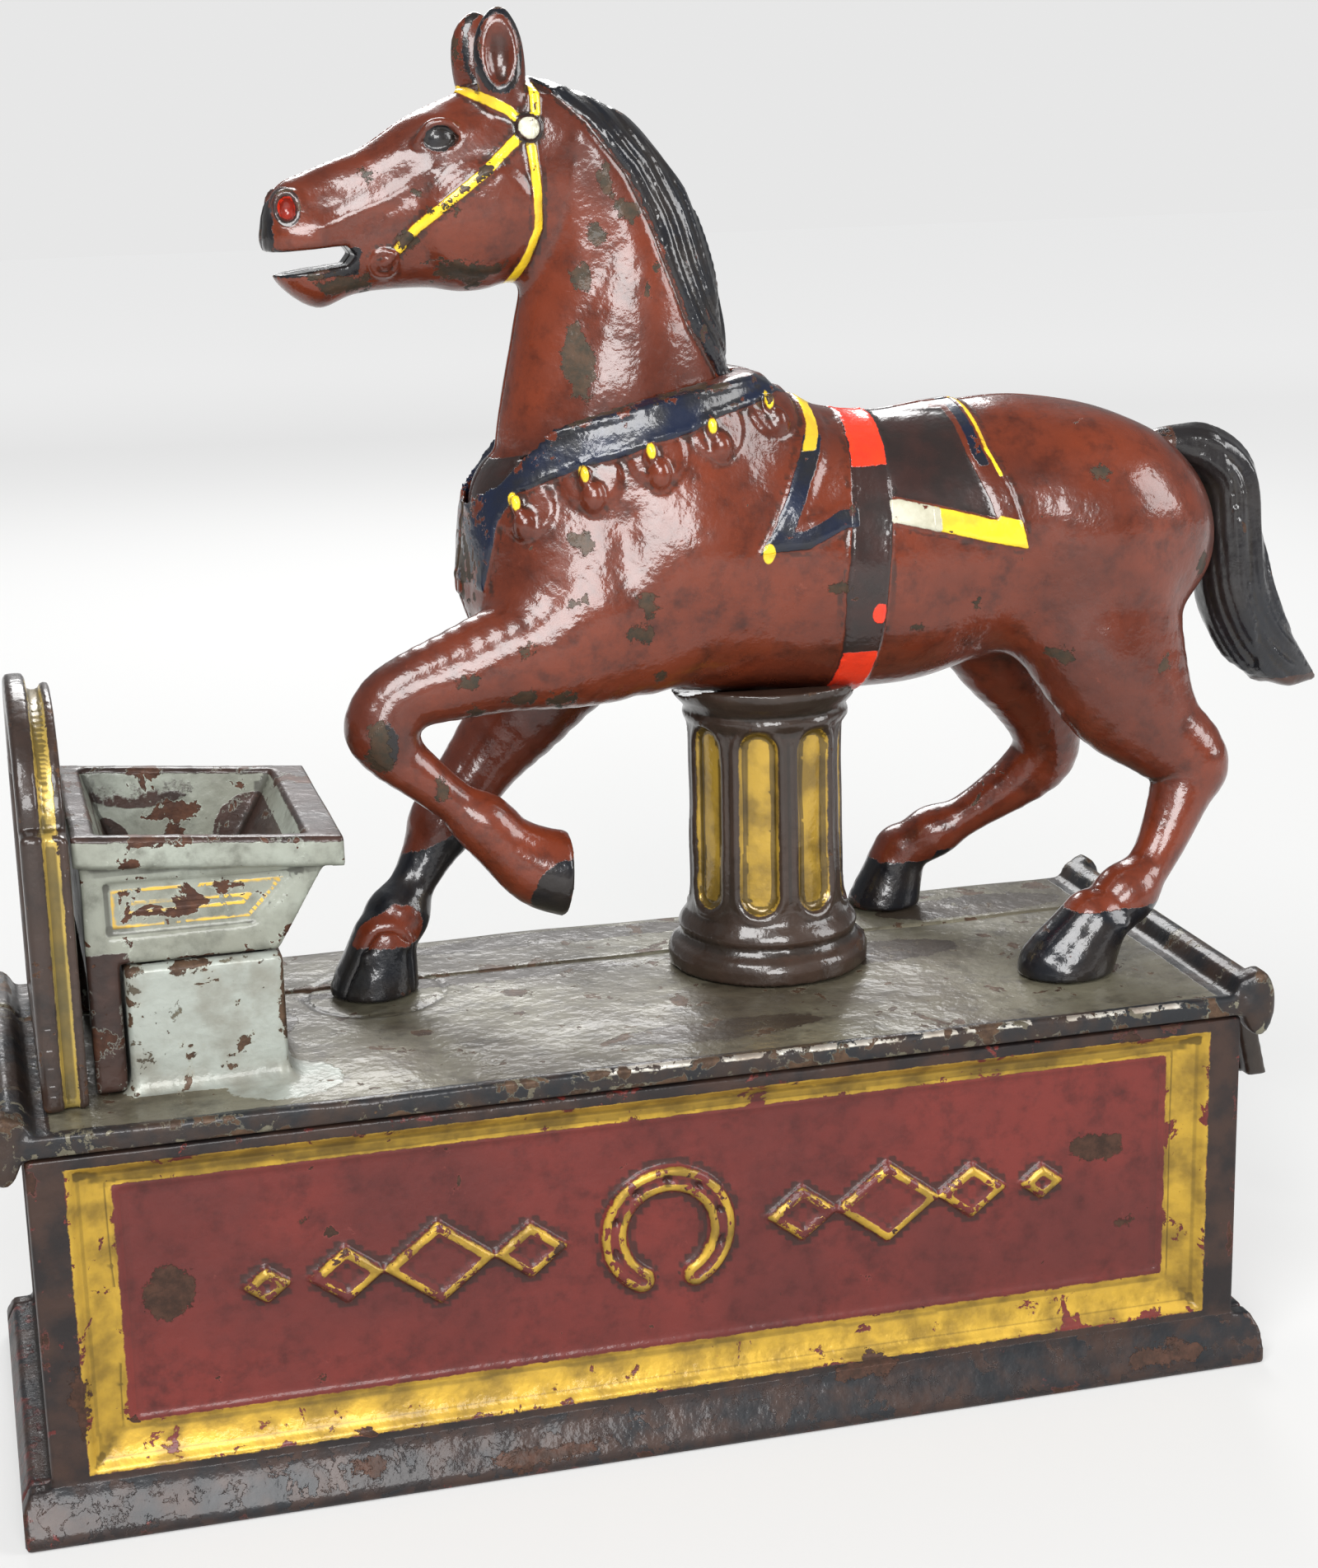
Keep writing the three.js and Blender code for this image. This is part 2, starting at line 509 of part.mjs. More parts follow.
const HEAD = [
  [[-7, 190], [-5, 166], 8], [[-12.3, 192], [-12.6, 163.2], 8.8], [[-18, 189.4], [-18.8, 162.8], 8.6],
  [[-23.4, 187], [-24, 163.3], 7.6], [[-29, 183.6], [-29, 163.2], 6.6], [[-34, 181.4], [-33.4, 162.5], 5.8],
  [[-38.6, 179.8], [-38, 161.4], 5.9], [[-42, 178], [-41.4, 163.4], 5.2], [[-44.4, 174], [-43.4, 168], 3]];
const rootAt = (degrees) => [polar(NECK_PIVOT, 0.4, degrees), polar(NECK_PIVOT, ROOT_R, degrees), 11.2];
const ROOT = [rootAt(-20), rootAt(-2), rootAt(16), rootAt(33.6)];
const NECK = [...ROOT,
  [[-12.6, 143], [20.9, 151.6], 11.8], [[-11.2, 150], [20.2, 157.6], 11],
  [[-9.8, 157.2], [19.3, 163.4], 10.2],
  [[-8.4, 163.4], [17.6, 169.8], 9.4], [[-8.2, 169.4], [15, 176.6], 8.8], [[-8.8, 175.4], [11, 182.2], 8.4],
  [[-9.8, 181.4], [5.6, 187.6], 7.6], [[-10.8, 187], [-1.6, 190.6], 6]];
const EAR = [[-11, 188, 3.6, 2.6], [-11.4, 193, 3.3, 2.4], [-11.6, 197.6, 2.5, 1.8]]; // below the tip

const turned = (solid, degrees) => solid
  .translate([-NECK_PIVOT[0], 0, -NECK_PIVOT[1]]).rotate([0, -degrees, 0])
  .translate([NECK_PIVOT[0], 0, NECK_PIVOT[1]]);

const NECK_PIN_R = 1.9;

// The room that the neck needs inside the collar as it swings.
const neckRoom = () => {
  const low = loft(NECK.slice(0, 6), 14, 0.8);
  const hub = crossPin(NECK_PIVOT, 7.6, [MID - 10.4, MID + 10.4], 16);
  const steps = [];
  for (let angle = 0; angle <= NOD; angle += 10) {
    steps.push(turned(low, angle));
  }
  return join(hub, ...steps);
};

const TAIL = [
  [89, MID, 134.6, 2.4, 2.6], [93, MID, 134.9, 3, 3.2], [98.4, MID, 133.6, 4, 4],
  [102.6, MID, 129, 5, 4.6], [103.4, MID, 120, 5.4, 5], [104.4, MID, 111, 6.4, 5.4],
  [108, MID, 103.6, 6, 4.8], [113, MID, 98.8, 4, 3.4], [118.6, MID, 96, 0.8, 0.8]];

const bodyWhole = () => {
  const outside = join(loft(BODY, BODY_SIDES), loft(COLLAR, BODY_SIDES));
  const inside = join(loft(BODY, 12, -SHELL), loft(COLLAR.slice(0, 3), 12, -SHELL));
  const tailRoom = limb(TAIL.map(([x, y, z, reach, side]) => [x - 0.3, y, z, reach + 0.5, side + 0.5]), 12);
  const rodRoom = box([COLUMN_X - 5, COLUMN_X + 5], [MID - 3.4, MID + 3.4], [95, 112]);
  return cut(outside, inside, neckRoom(), tailRoom, rodRoom,
    crossPin(NECK_PIVOT, NECK_PIN_R + PIN_ROOM, [MID - 13, MID + 13], 16));
};

const body = bodyWhole();
const hollow = loft(BODY, 12, -SHELL);
const legs = (...limbs) => cut(join(...limbs), hollow);

const nearHalf = join(
  body.intersect(near), legs(limb(hindNear), limb(foreNear)).intersect(near),
  raisedHoof, standingHoof(hoofPegs.nearHind, 66.6, 7.2, 4.6));
const farHalf = join(
  body.intersect(far), legs(limb(hindFar), limb(foreFar)).intersect(far),
  standingHoof(hoofPegs.farHind, 68, 6, 2.6), standingHoof(hoofPegs.farFore, 67, 6.8, 1.6));
const rivetCuts = RIVETS.map(({ at }) => crossPin(at, RIVET_R + PIN_ROOM, through, 12));
add('body_near_half', cut(nearHalf, ...rivetCuts), paint.horse);
add('body_far_half', cut(farHalf, ...rivetCuts), paint.horse);
add('tail', limb(TAIL, 12), paint.black);
RIVETS.forEach(({ at, half }, i) => {
  add(`body_rivet_${i + 1}`, crossPin(at, RIVET_R, [MID - half, MID + half], 12), paint.steel);
});

// ---------------------------------------------------------------- column

const FLUTE = { count: 8, r: 2.9, z: [72.8, 94.4], turn: 17 };

const columnSolid = () => {
  const foot = DECK_TOP + GAP;
  const profile = [
    [BORE_R, foot], [15.4, foot], [15.4, 61.4], [14.4, 63], [13.4, 64], [13.6, 65.8], [12.8, 67.2],
    [COLUMN_R, 69.4], [COLUMN_R, 98.2], [12.6, 99.2], [12.6, 101], [14.2, COLUMN_TOP],
    [BORE_R, COLUMN_TOP], [BORE_R, foot]];
  const turnedSolid = lathe(profile, 32).translate([COLUMN_X, MID, 0]);
  const flutes = [];
  const shape = new THREE.Shape();
  shape.absarc(0, FLUTE.z[0], FLUTE.r, Math.PI, 2 * Math.PI);
  shape.absarc(0, FLUTE.z[1], FLUTE.r, 0, Math.PI);
  for (let i = 0; i < FLUTE.count; i += 1) {
    const flute = sidePlate(shape, [-COLUMN_R - 3, -COLUMN_R + 1], 4);
    flutes.push(flute.rotate([0, 0, 360 / FLUTE.count * i + FLUTE.turn]).translate([COLUMN_X, MID, 0]));
  }
  return cut(turnedSolid, ...flutes, loft(BODY, BODY_SIDES, GAP));
};
add('column', columnSolid(), paint.column);

// ---------------------------------------------------------------- head and neck

const rodPinPlace = polar(NECK_PIVOT, CRANK_R, -NOD / 2);
const ROD_PIN_R = 1;
const HEAD_RIVETS = [
  { at: [-29, 167.3], half: 6.1, head: 2 }, { at: [-8.6, 185], half: 7.5, head: 1.6 }];

const headWhole = () => {
  const skull = loft(HEAD, 16);
  const neck = loft(NECK, 16);
  const hub = crossPin(NECK_PIVOT, 6.6, [MID - 9.4, MID + 9.4], 24);
  const way = new THREE.Vector2(...rodPinPlace).sub(new THREE.Vector2(...NECK_PIVOT)).normalize();
  const edge = [-way.y * 3.2, way.x * 3.2];
  const beside = ([x, z], side) => [x + side * edge[0], z + side * edge[1]];
  const arm = [
    beside(NECK_PIVOT, 1), beside(rodPinPlace, 1), beside(rodPinPlace, -1), beside(NECK_PIVOT, -1)];
  const width = [MID - 4.6, MID + 4.6];
  const crank = join(sidePlate(arm, width), crossPin(rodPinPlace, 3.2, width, 20));
  const ear = (y, lean, tip) => limb([
    ...EAR.map(([x, z, reach, side]) => [x + lean, y, z, reach, side]),
    [EAR[0][0] - 0.2 + lean, y, tip, 0.5, 0.5]], 10);
  const ears = [ear(MID - 4.6, 0, 201.2), ear(MID + 4.6, -1.4, 200.6)];
  const mouth = sidePlate(
    [[-60, 165.6], [-33.4, 166.9], [-32.2, 168.3], [-33.4, 169.9], [-60, 169.2]], through);
  const inside = loft(NECK.slice(4, 11), 12, -SHELL);
  const room = cut(box([NECK_PIVOT[0] + 7.4, 30], [MID - 1.7, MID + 1.7], [108, 137]),
    loft(NECK.slice(4), 12, 0.2));
  const holes = HEAD_RIVETS.map(({ at }) => crossPin(at, 1 + PIN_ROOM, through, 12));
  return cut(join(skull, neck, hub, crank, ...ears), mouth, inside, room,
    crossPin(NECK_PIVOT, NECK_PIN_R + PIN_ROOM, through, 16),
    crossPin(rodPinPlace, ROD_PIN_R + PIN_ROOM, through, 12), ...holes);
};
const head = headWhole();
add('head_near_half', head.intersect(near), paint.horse);
add('head_far_half', head.intersect(far), paint.horse);
HEAD_RIVETS.forEach(({ at, half, head: r }, i) => {
  const shank = crossPin(at, 1, [MID - half, MID + half], 12);
  const heads = [[MID - half - 0.6, MID - half], [MID + half, MID + half + 0.6]]
    .map((span) => crossPin(at, r, [span[0] - 0.02, span[1] + 0.02], 16));
  add(`head_rivet_${i + 1}`, join(shank, ...heads), paint.steel);
});
add('neck_pivot_pin', crossPin(NECK_PIVOT, NECK_PIN_R, [MID - 12.6, MID + 12.6], 16), paint.steel);
add('rod_upper_pin', crossPin(rodPinPlace, ROD_PIN_R, [MID - 4.4, MID + 4.4], 12), paint.steel);

// ---------------------------------------------------------------- mechanism

const LINK_R = 0.9;
const leverPin = [LEVER_X, LEVER_Z];
const leverEnd = polar(leverPin, LEVER_ARM, 180 + PULL / 2);
const linkPlace = polar(leverPin, LINK_ARM, -90 + PULL / 2);

// The rod moves straight up while its pins move on arcs, so each eye is open sideways by their sway.
const connectingRod = () => {
  const [x1, z1] = rodPinPlace;
  const thick = [MID - 1.2, MID + 1.2];
  const bar = sidePlate([
    [COLUMN_X - 1.7, leverEnd[1]], [COLUMN_X + 1.7, leverEnd[1]], [COLUMN_X + 1.7, 111],
    [x1 + 1.4, z1 + 1.9], [x1 - 1.2, z1 - 1], [COLUMN_X - 1.7, 108.4]], thick);
  const upper = join(
    crossPin([x1, z1], 3.1, thick, 16), box([x1 - 3.4, x1 + 4.6], thick, [z1 - 3.1, z1 + 3.1]));
  const lower = crossPin(leverEnd, 3.1, thick, 16);
  const slot = ([x, z], left, right) => box([x - left, x + right], through, [z - 1.4, z + 1.4]);
  return cut(join(bar, upper, lower), slot([x1, z1], 1.5, 3.1), slot(leverEnd, 1.9, 1.9));
};
add('connecting_rod', connectingRod(), paint.iron);

const pullLever = () => {
  const at = (r, degrees) => polar(leverPin, r, degrees);
  const half = PULL / 2;
  const thick = [MID - 1.6, MID + 1.6];
  const arm = sidePlate([
    at(LEVER_ARM + 3, 180 + half - 4), at(10, 180 + half - 22), at(6, 60), at(28, half + 5),
    [100, 48.4], [107, 46.4], [110.6, 31], [106.4, 31], [103.6, 42.6], [97, 43.6],
    at(26, half - 7), at(7, -70), at(12, 180 + half + 18), at(LEVER_ARM + 3, 180 + half + 4)], thick);
  const pad = sidePlate([[104.4, 44], [107.6, 44], [110.6, 31], [107.2, 31]], [MID - 5, MID + 5]);
  const [lx, lz] = linkPlace;
  const drop = sidePlate([
    at(4.4, 0), at(4.4, 180), [lx - 2.8, lz], [lx - 2, lz - 2.6], [lx + 2, lz - 2.6], [lx + 2.8, lz]], thick);
  const hub = crossPin(leverPin, 5, [MID - 2, MID + 2], 24);
  const cheek = (span) => sidePlate([
    at(LEVER_ARM + 3.2, 180 + half - 4.4), at(LEVER_ARM - 12, 180 + half - 5.5),
    at(LEVER_ARM - 12, 180 + half + 5.5), at(LEVER_ARM + 3.2, 180 + half + 4.4)], span);
  const forkRoom = box([0, COLUMN_X + 6.4], [thick[0] - 0.01, thick[1] + 0.01], [20, 60]);
  const fork = join(cheek([MID - 3.8, MID - 1.5]), cheek([MID + 1.5, MID + 3.8]));
  return cut(join(cut(join(arm, drop, hub), forkRoom), pad, fork),
    crossPin(leverPin, LEVER_PIN_R + PIN_ROOM, through, 20),
    crossPin(leverEnd, ROD_PIN_R + PIN_ROOM, through, 12),
    crossPin(linkPlace, LINK_R + 0.6, through, 16),
    crossPin(at(20.6, 180 + half), 1.1, through, 12));
};
add('pull_lever', pullLever(), paint.iron);
add('lever_pivot_pin', crossPin(leverPin, LEVER_PIN_R, [MID - 5, MID + 5], 16), paint.steel);
add('rod_lower_pin', crossPin(leverEnd, ROD_PIN_R, [MID - 3.7, MID + 3.7], 12), paint.steel);

const flapLink = () => {
  const [x0, z0] = linkPlace;
  const [x1, z1] = flapCrankPlace;
  return wire([
    [x0, MID - 2.6, z0], [x0, MID + 2, z0], [x0, 13, z0], [x0 - 3, 14.4, z0], [40, 14.4, z0],
    [15, 12.4, z0], [0, 11.4, z0], [x1 + 8, 11.4, z0], [x1 + 1, 11.4, z0 + 1], [x1, 11.4, z0 + 8],
    [x1, 11.4, 60], [x1, 11.4, z1 - 2], [x1, 10.4, z1], [x1, 7.4, z1]], LINK_R, 44, 6);
};
add('flap_link', flapLink(), paint.steel);

// A tension spring, as a plain coil, between the lever and the bottom plate's anchor.
const leverSpring = () => {
  const coil = { turns: 6, r: 3.6, z: [10.6, 28.6], wire: 0.55, perTurn: 10 };
  const count = coil.turns * coil.perTurn;
  const points = [];
  for (let i = 0; i <= count; i += 1) {
    const turn = 2 * Math.PI * i / coil.perTurn;
    const z = coil.z[0] + (coil.z[1] - coil.z[0]) * i / count;
    points.push([SPRING_X + coil.r * Math.cos(turn), MID + coil.r * Math.sin(turn), z]);
  }
  return wire(points, coil.wire, coil.turns * 11, 6);
};
add('lever_spring', leverSpring(), paint.steel);

export default bank;
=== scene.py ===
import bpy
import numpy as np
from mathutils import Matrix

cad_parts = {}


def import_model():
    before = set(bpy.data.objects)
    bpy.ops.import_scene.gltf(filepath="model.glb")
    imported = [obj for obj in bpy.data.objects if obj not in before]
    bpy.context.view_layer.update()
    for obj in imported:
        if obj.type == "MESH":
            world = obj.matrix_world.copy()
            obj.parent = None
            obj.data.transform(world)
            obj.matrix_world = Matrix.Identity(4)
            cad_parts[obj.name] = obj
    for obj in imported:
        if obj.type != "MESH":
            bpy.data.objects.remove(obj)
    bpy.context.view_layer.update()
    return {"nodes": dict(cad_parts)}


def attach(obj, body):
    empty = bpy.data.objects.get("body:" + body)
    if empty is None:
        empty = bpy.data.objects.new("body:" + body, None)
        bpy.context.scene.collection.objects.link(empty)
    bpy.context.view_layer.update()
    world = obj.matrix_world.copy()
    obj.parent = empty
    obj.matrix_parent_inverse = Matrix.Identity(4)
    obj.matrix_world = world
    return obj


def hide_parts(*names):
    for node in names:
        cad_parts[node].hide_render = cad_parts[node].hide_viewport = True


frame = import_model()

# The looks of a cast-iron mechanical bank: a horse on a fluted column above a box base.
# Each casting is sculpted as samples of distance on a grid, in millimetres, with +Z up and the
# origin in the middle of the base's underside, as in the CAD frame. The mesh follows the samples'
# zero surface. Paint zones are signed distances in millimetres, kept on the vertices.

import openvdb
from mathutils import Matrix, Vector

MM = 0.001
FAR = 9.0
REACH = 3.0                       # how far round a shape its distances are worked out
STEP = 0.5

# ------------------------------------------------------------------ named places

GAP = 0.3
MID = 7.0                         # the horse's middle plane
PLINTH = (92.0, 35.2, 7.4)        # half-length, half-depth, height
PLINTH_LIP = 1.6
END_LEDGE = 2.95                  # how far the plinth's slope starts off the end walls
WALL = (87.8, 32.25, 55.3)
WALL_THICK = 3.0
FRAME = (82.7, 8.9, 53.5)         # cove frame: half-length, bottom, top
FIELD = (75.9, 15.8, 49.4)
FIELD_DEPTH = 2.2
DECK = (88.0, 33.0, 55.6, 58.8)   # half-length, half-depth, underside, top
SEAM = 15.5
LUG = 0.45                        # how far the deck's lugs stand past its long sides
COLUMN = (26.9, 11.8, 103.6)      # x, radius, top
PIVOT = (-8.0, 132.0)
HUB = (9.2, 10.3)                 # the neck's rounded boss round the pivot: radius, half-width
ROOT_R = 34.3
NOD = 50
LEVER = (65.25, 40.0)
ZONES = ("navy", "yellow", "orange", "dark", "black", "pale", "gold", "worn")


# ------------------------------------------------------------------ distances

def catmull(points, count=4):
    """A smooth line through points, with count steps between each two."""
    p = np.array(points, float)
    p = np.vstack([2 * p[0] - p[1], p, 2 * p[-1] - p[-2]])
    t = np.linspace(0, 1, count, endpoint=False)[:, None]
    rows = [
        0.5 * (2 * b + (c - a) * t + (2 * a - 5 * b + 4 * c - d) * t**2 + (3 * b - a - 3 * c + d) * t**3)
        for a, b, c, d in zip(p, p[1:], p[2:], p[3:])
    ]
    return np.vstack([*rows, p[-2:-1]])


def smooth_min(a, b, k):
    if k <= 0:
        return np.minimum(a, b)
    h = np.maximum(k - np.abs(a - b), 0) / k
    return np.minimum(a, b) - h * h * k / 4


def oval(u, v, ru, rv):
    """Distance to an ellipse, or nearly."""
    k0 = np.sqrt((u / ru) ** 2 + (v / rv) ** 2)
    k1 = np.sqrt((u / ru**2) ** 2 + (v / rv**2) ** 2) + 1e-4
    return k0 * (k0 - 1) / k1


def ramp(value, low, high):
    t = np.clip((value - low) / (high - low), 0, 1)
    return t * t * (3 - 2 * t)


def line_distance(points, u, v):
    """Distance to an open line in a plane."""
    best = np.full(np.broadcast(u, v).shape, 1e9)
    for (au, av), (bu, bv) in zip(points, points[1:]):
        du, dv = bu - au, bv - av
        t = np.clip(((u - au) * du + (v - av) * dv) / (du * du + dv * dv), 0, 1)
        best = np.minimum(best, (u - au - t * du) ** 2 + (v - av - t * dv) ** 2)
    return np.sqrt(best)


def outline_distance(points, u, v):
    """Distance to a closed outline in a plane, negative inside."""
    inside = np.zeros(np.broadcast(u, v).shape, bool)
    for (au, av), (bu, bv) in zip(points, points[1:] + points[:1]):
        slope = (bu - au) / ((bv - av) or 1e-9)
        inside ^= ((av > v) != (bv > v)) & (u < au + slope * (v - av))
    return np.where(inside, -1, 1) * line_distance(points + points[:1], u, v)


def spots_distance(spots, u, v):
    """Signed distance to the nearest of some ovals [u, v, ru, rv]."""
    return np.minimum.reduce([oval(u - a, v - b, ru, rv) for a, b, ru, rv in spots])


def spot(u, v, centre):
    """Distance to a place in a plane."""
    return np.hypot(u - centre[0], v - centre[1])


def bump(u, v, centre, radii):
    return np.exp(-(((u - centre[0]) / radii[0]) ** 2) - ((v - centre[1]) / radii[1]) ** 2)


def uneven(x, y, z, size, seed):
    """A slow, smooth unevenness of about -1 to 1, as of a hand-made pattern."""
    turn = np.random.default_rng(seed)
    total = 0
    for _ in range(5):
        way = turn.normal(size=3)
        way *= 2 * np.pi / size / np.linalg.norm(way) * turn.uniform(0.6, 1.5)
        total = total + np.sin(x * way[0] + y * way[1] + z * way[2] + turn.uniform(0, 6.3))
    return total / 3


# ------------------------------------------------------------------ clay

class Clay:
    """A block of distance samples that shapes are joined to and cut from."""

    def __init__(self, low, high, step=STEP):
        self.step = step
        self.low = np.array(low, float) - 2 * step
        self.count = np.ceil((np.array(high, float) + 2 * step - self.low) / step).astype(int) + 1
        self.value = np.full(self.count, FAR, np.float32)

    def window(self, low=None, high=None):
        """The samples between two corners, and their x, y and z as open grids."""
        top = self.low + self.count * self.step
        low = self.low if low is None else np.array(low, float)
        high = top if high is None else np.array(high, float)
        first = np.clip(np.floor((low - self.low) / self.step).astype(int), 0, self.count - 1)
        last = np.clip(np.ceil((high - self.low) / self.step).astype(int) + 1, first + 1, self.count)
        where = tuple(slice(a, b) for a, b in zip(first, last))
        x, y, z = (
            (self.low[i] + np.arange(first[i], last[i]) * self.step).astype(np.float32)
            for i in range(3)
        )
        return where, x[:, None, None], y[None, :, None], z[None, None, :]

    def join(self, shape, k=0.0):
        where, d = shape(self)
        self.value[where] = smooth_min(self.value[where], d, k)

    def carve(self, where, d, k=0.0):
        """Takes away what is inside distances already worked out for a window."""
        self.value[where] = -smooth_min(-self.value[where], d, k)

    def cut(self, shape, k=0.0):
        self.carve(*shape(self), k)

    def raise_by(self, height):
        """Moves the surface out by height(x, y, z)."""
        _, x, y, z = self.window()
        self.value -= height(x, y, z).astype(np.float32)

    def at(self, field, points):
        i = np.clip(np.rint((points - self.low) / self.step).astype(int), 0, self.count - 1)
        return field[i[:, 0], i[:, 1], i[:, 2]]

    def side_y(self, x, z, near=True):
        """Where the near or far side is, at a place of the side view."""
        i, k = (int(round((a - b) / self.step)) for a, b in ((x, self.low[0]), (z, self.low[2])))
        inside = np.flatnonzero(self.value[i, :, k] < 0)
        return self.low[1] + self.step * (inside[0] if near else inside[-1])

    def edges(self):
        """How sharply the surface turns: above 0 on edges and below 0 in corners."""
        v = np.clip(self.value, -2, 2)
        turn = -6 * v
        for axis in range(3):
            turn += np.roll(v, 1, axis) + np.roll(v, -1, axis)
        for axis in range(3):
            turn = (turn + np.roll(turn, 1, axis) + np.roll(turn, -1, axis)) / 3
        return turn / self.step**2


def ball(centre, radii):
    c, r = np.array(centre, float), np.array(radii, float)

    def shape(clay):
        where, x, y, z = clay.window(c - r - REACH, c + r + REACH)
        u, v, w = x - c[0], y - c[1], z - c[2]
        k0 = np.sqrt((u / r[0]) ** 2 + (v / r[1]) ** 2 + (w / r[2]) ** 2)
        k1 = np.sqrt((u / r[0] ** 2) ** 2 + (v / r[1] ** 2) ** 2 + (w / r[2] ** 2) ** 2) + 1e-4
        return where, k0 * (k0 - 1) / k1
    return shape


def rounded(sides, r):
    """The distance of a solid with round edges from its distances along each way."""
    outside = sum(np.maximum(s + r, 0) ** 2 for s in sides)
    inside = sides[0]
    for s in sides[1:]:
        inside = np.maximum(inside, s)
    return np.sqrt(outside) + np.minimum(inside + r, 0) - r


def slab(place, span):
    """Distance past the nearer of two parallel faces."""
    return np.abs(place - sum(span) / 2) - (span[1] - span[0]) / 2


def block(xs, ys, zs, r=0.4):
    """A box with its edges rounded."""
    spans = np.array([xs, ys, zs], float)

    def shape(clay):
        where, *places = clay.window(spans[:, 0] - REACH, spans[:, 1] + REACH)
        return where, rounded([slab(place, span) for place, span in zip(places, spans)], r)
    return shape


def plate(outline, span, r, across):
    """A plate with an outline in two axes, from one place to another along the axis across."""
    others = [axis for axis in range(3) if axis != across]
    low, high = np.empty(3), np.empty(3)
    low[others], high[others] = np.min(outline, 0), np.max(outline, 0)
    low[across], high[across] = span

    def shape(clay):
        where, *places = clay.window(low - REACH, high + REACH)
        flat = outline_distance(outline, *(places[axis] for axis in others))
        return where, rounded([flat, slab(places[across], span)], r)
    return shape


def bar(at, radius, span, r, across):
    """A round bar at a place in two axes, from one place to another along the axis across."""
    others = [axis for axis in range(3) if axis != across]
    low, high = np.empty(3), np.empty(3)
    low[others], high[others] = np.array(at) - radius, np.array(at) + radius
    low[across], high[across] = span

    def shape(clay):
        where, *places = clay.window(low - REACH, high + REACH)
        u, v = (places[axis] - centre for axis, centre in zip(others, at))
        return where, rounded([np.hypot(u, v) - radius, slab(places[across], span)], r)
    return shape


def side_plate(outline, span, r=0.3):
    """A plate with an outline in x and z, from one y to another."""
    return plate(outline, span, r, 1)


def end_plate(outline, span, r=0.3):
    """A plate with an outline in y and z, from one x to another."""
    return plate(outline, span, r, 0)


def cross_pin(at, radius, span, r=0.2):
    """A round pin along y."""
    return bar(at, radius, span, r, 1)


def post(at, radius, span, r=0.2):
    """An upright round post."""
    return bar(at, radius, span, r, 2)


def chain(joints, count=4):
    """A limb through joints [x, y, z, reach in the side view, reach sideways]."""
    joints = catmull(joints, count)

    def shape(clay):
        margin = joints[:, 3:].max() + REACH
        whole, x, y, z = clay.window(joints[:, :3].min(0) - margin, joints[:, :3].max(0) + margin)
        out = np.full([s.stop - s.start for s in whole], FAR, np.float32)
        for a, b in zip(joints, joints[1:]):
            margin = max(a[3:].max(), b[3:].max()) + REACH
            low, high = np.minimum(a, b)[:3] - margin, np.maximum(a, b)[:3] + margin
            where, x, y, z = clay.window(low, high)
            inner = tuple(slice(s.start - w.start, s.stop - w.start) for s, w in zip(where, whole))
            way = b[:3] - a[:3]
            u, v, w = x - a[0], y - a[1], z - a[2]
            t = np.clip((u * way[0] + v * way[1] + w * way[2]) / (way @ way), 0, 1)
            reach, side = a[3] + (b[3] - a[3]) * t, a[4] + (b[4] - a[4]) * t
            flat = np.hypot(u - t * way[0], w - t * way[2])
            out[inner] = np.minimum(out[inner], oval(flat, v - t * way[1], reach, side))
        return whole, out
    return shape


def loft(top, bottom, half):
    """A body along x between a top and a bottom line [x, z], bulging half [x, width] each way."""
    top, bottom, half = (catmull(line, 6) for line in (top, bottom, half))

    def shape(clay):
        wide = half[:, 1].max() + REACH
        where, x, y, z = clay.window((top[0, 0] - REACH, MID - wide, bottom[:, 1].min() - REACH),
                                     (top[-1, 0] + REACH, MID + wide, top[:, 1].max() + REACH))
        high, low = np.interp(x, *top.T), np.interp(x, *bottom.T)
        tall = np.maximum((high - low) / 2, 0.4)
        d = oval(z - (high + low) / 2, y - MID, tall, np.maximum(np.interp(x, *half.T), 0.4))
        ends = np.maximum(top[0, 0] - x, x - top[-1, 0])
        return where, np.where(ends > 0, np.maximum(d, ends), d)
    return shape


def leaning_loft(rows, lean, grow=0.0):
    """A body rising through rows [height, front x, back x, half-width], each row leaning up to the back."""
    rows = catmull(rows, 6)

    def shape(clay):
        wide = rows[:, 3].max() + REACH
        low = rows[0, 0] + lean * rows[:, 1].min() - REACH
        high = rows[-1, 0] + lean * rows[:, 2].max() + REACH
        where, x, y, z = clay.window((rows[:, 1].min() - REACH, MID - wide, low),
                                     (rows[:, 2].max() + REACH, MID + wide, high))
        return where, leaning_distance(rows, lean, x, y, z) - grow
    return shape


def leaning_distance(rows, lean, x, y, z):
    height = z - lean * x
    front, back, half = (np.interp(height, rows[:, 0], rows[:, i]) for i in (1, 2, 3))
    d = oval(x - (front + back) / 2, y - MID, (back - front) / 2, half)
    ends = np.maximum(rows[0, 0] - height, height - rows[-1, 0]) / np.hypot(1, lean)
    return np.maximum(d, ends)


# ------------------------------------------------------------------ meshes

def add_mesh(name, points, faces):
    """A smooth-shaded mesh object from points in millimetres and quads."""
    mesh = bpy.data.meshes.new(name)
    mesh.vertices.add(len(points))
    mesh.vertices.foreach_set("co", (points * MM).astype(np.float32).ravel())
    mesh.loops.add(faces.size)
    mesh.loops.foreach_set("vertex_index", faces.astype(np.int32).ravel())
    mesh.polygons.add(len(faces))
    mesh.polygons.foreach_set("loop_start", np.arange(0, faces.size, 4, dtype=np.int32))
    mesh.update(calc_edges=True)
    mesh.polygons.foreach_set("use_smooth", np.ones(len(faces), bool))
    made = bpy.data.objects.new(name, mesh)
    bpy.context.scene.collection.objects.link(made)
    return made


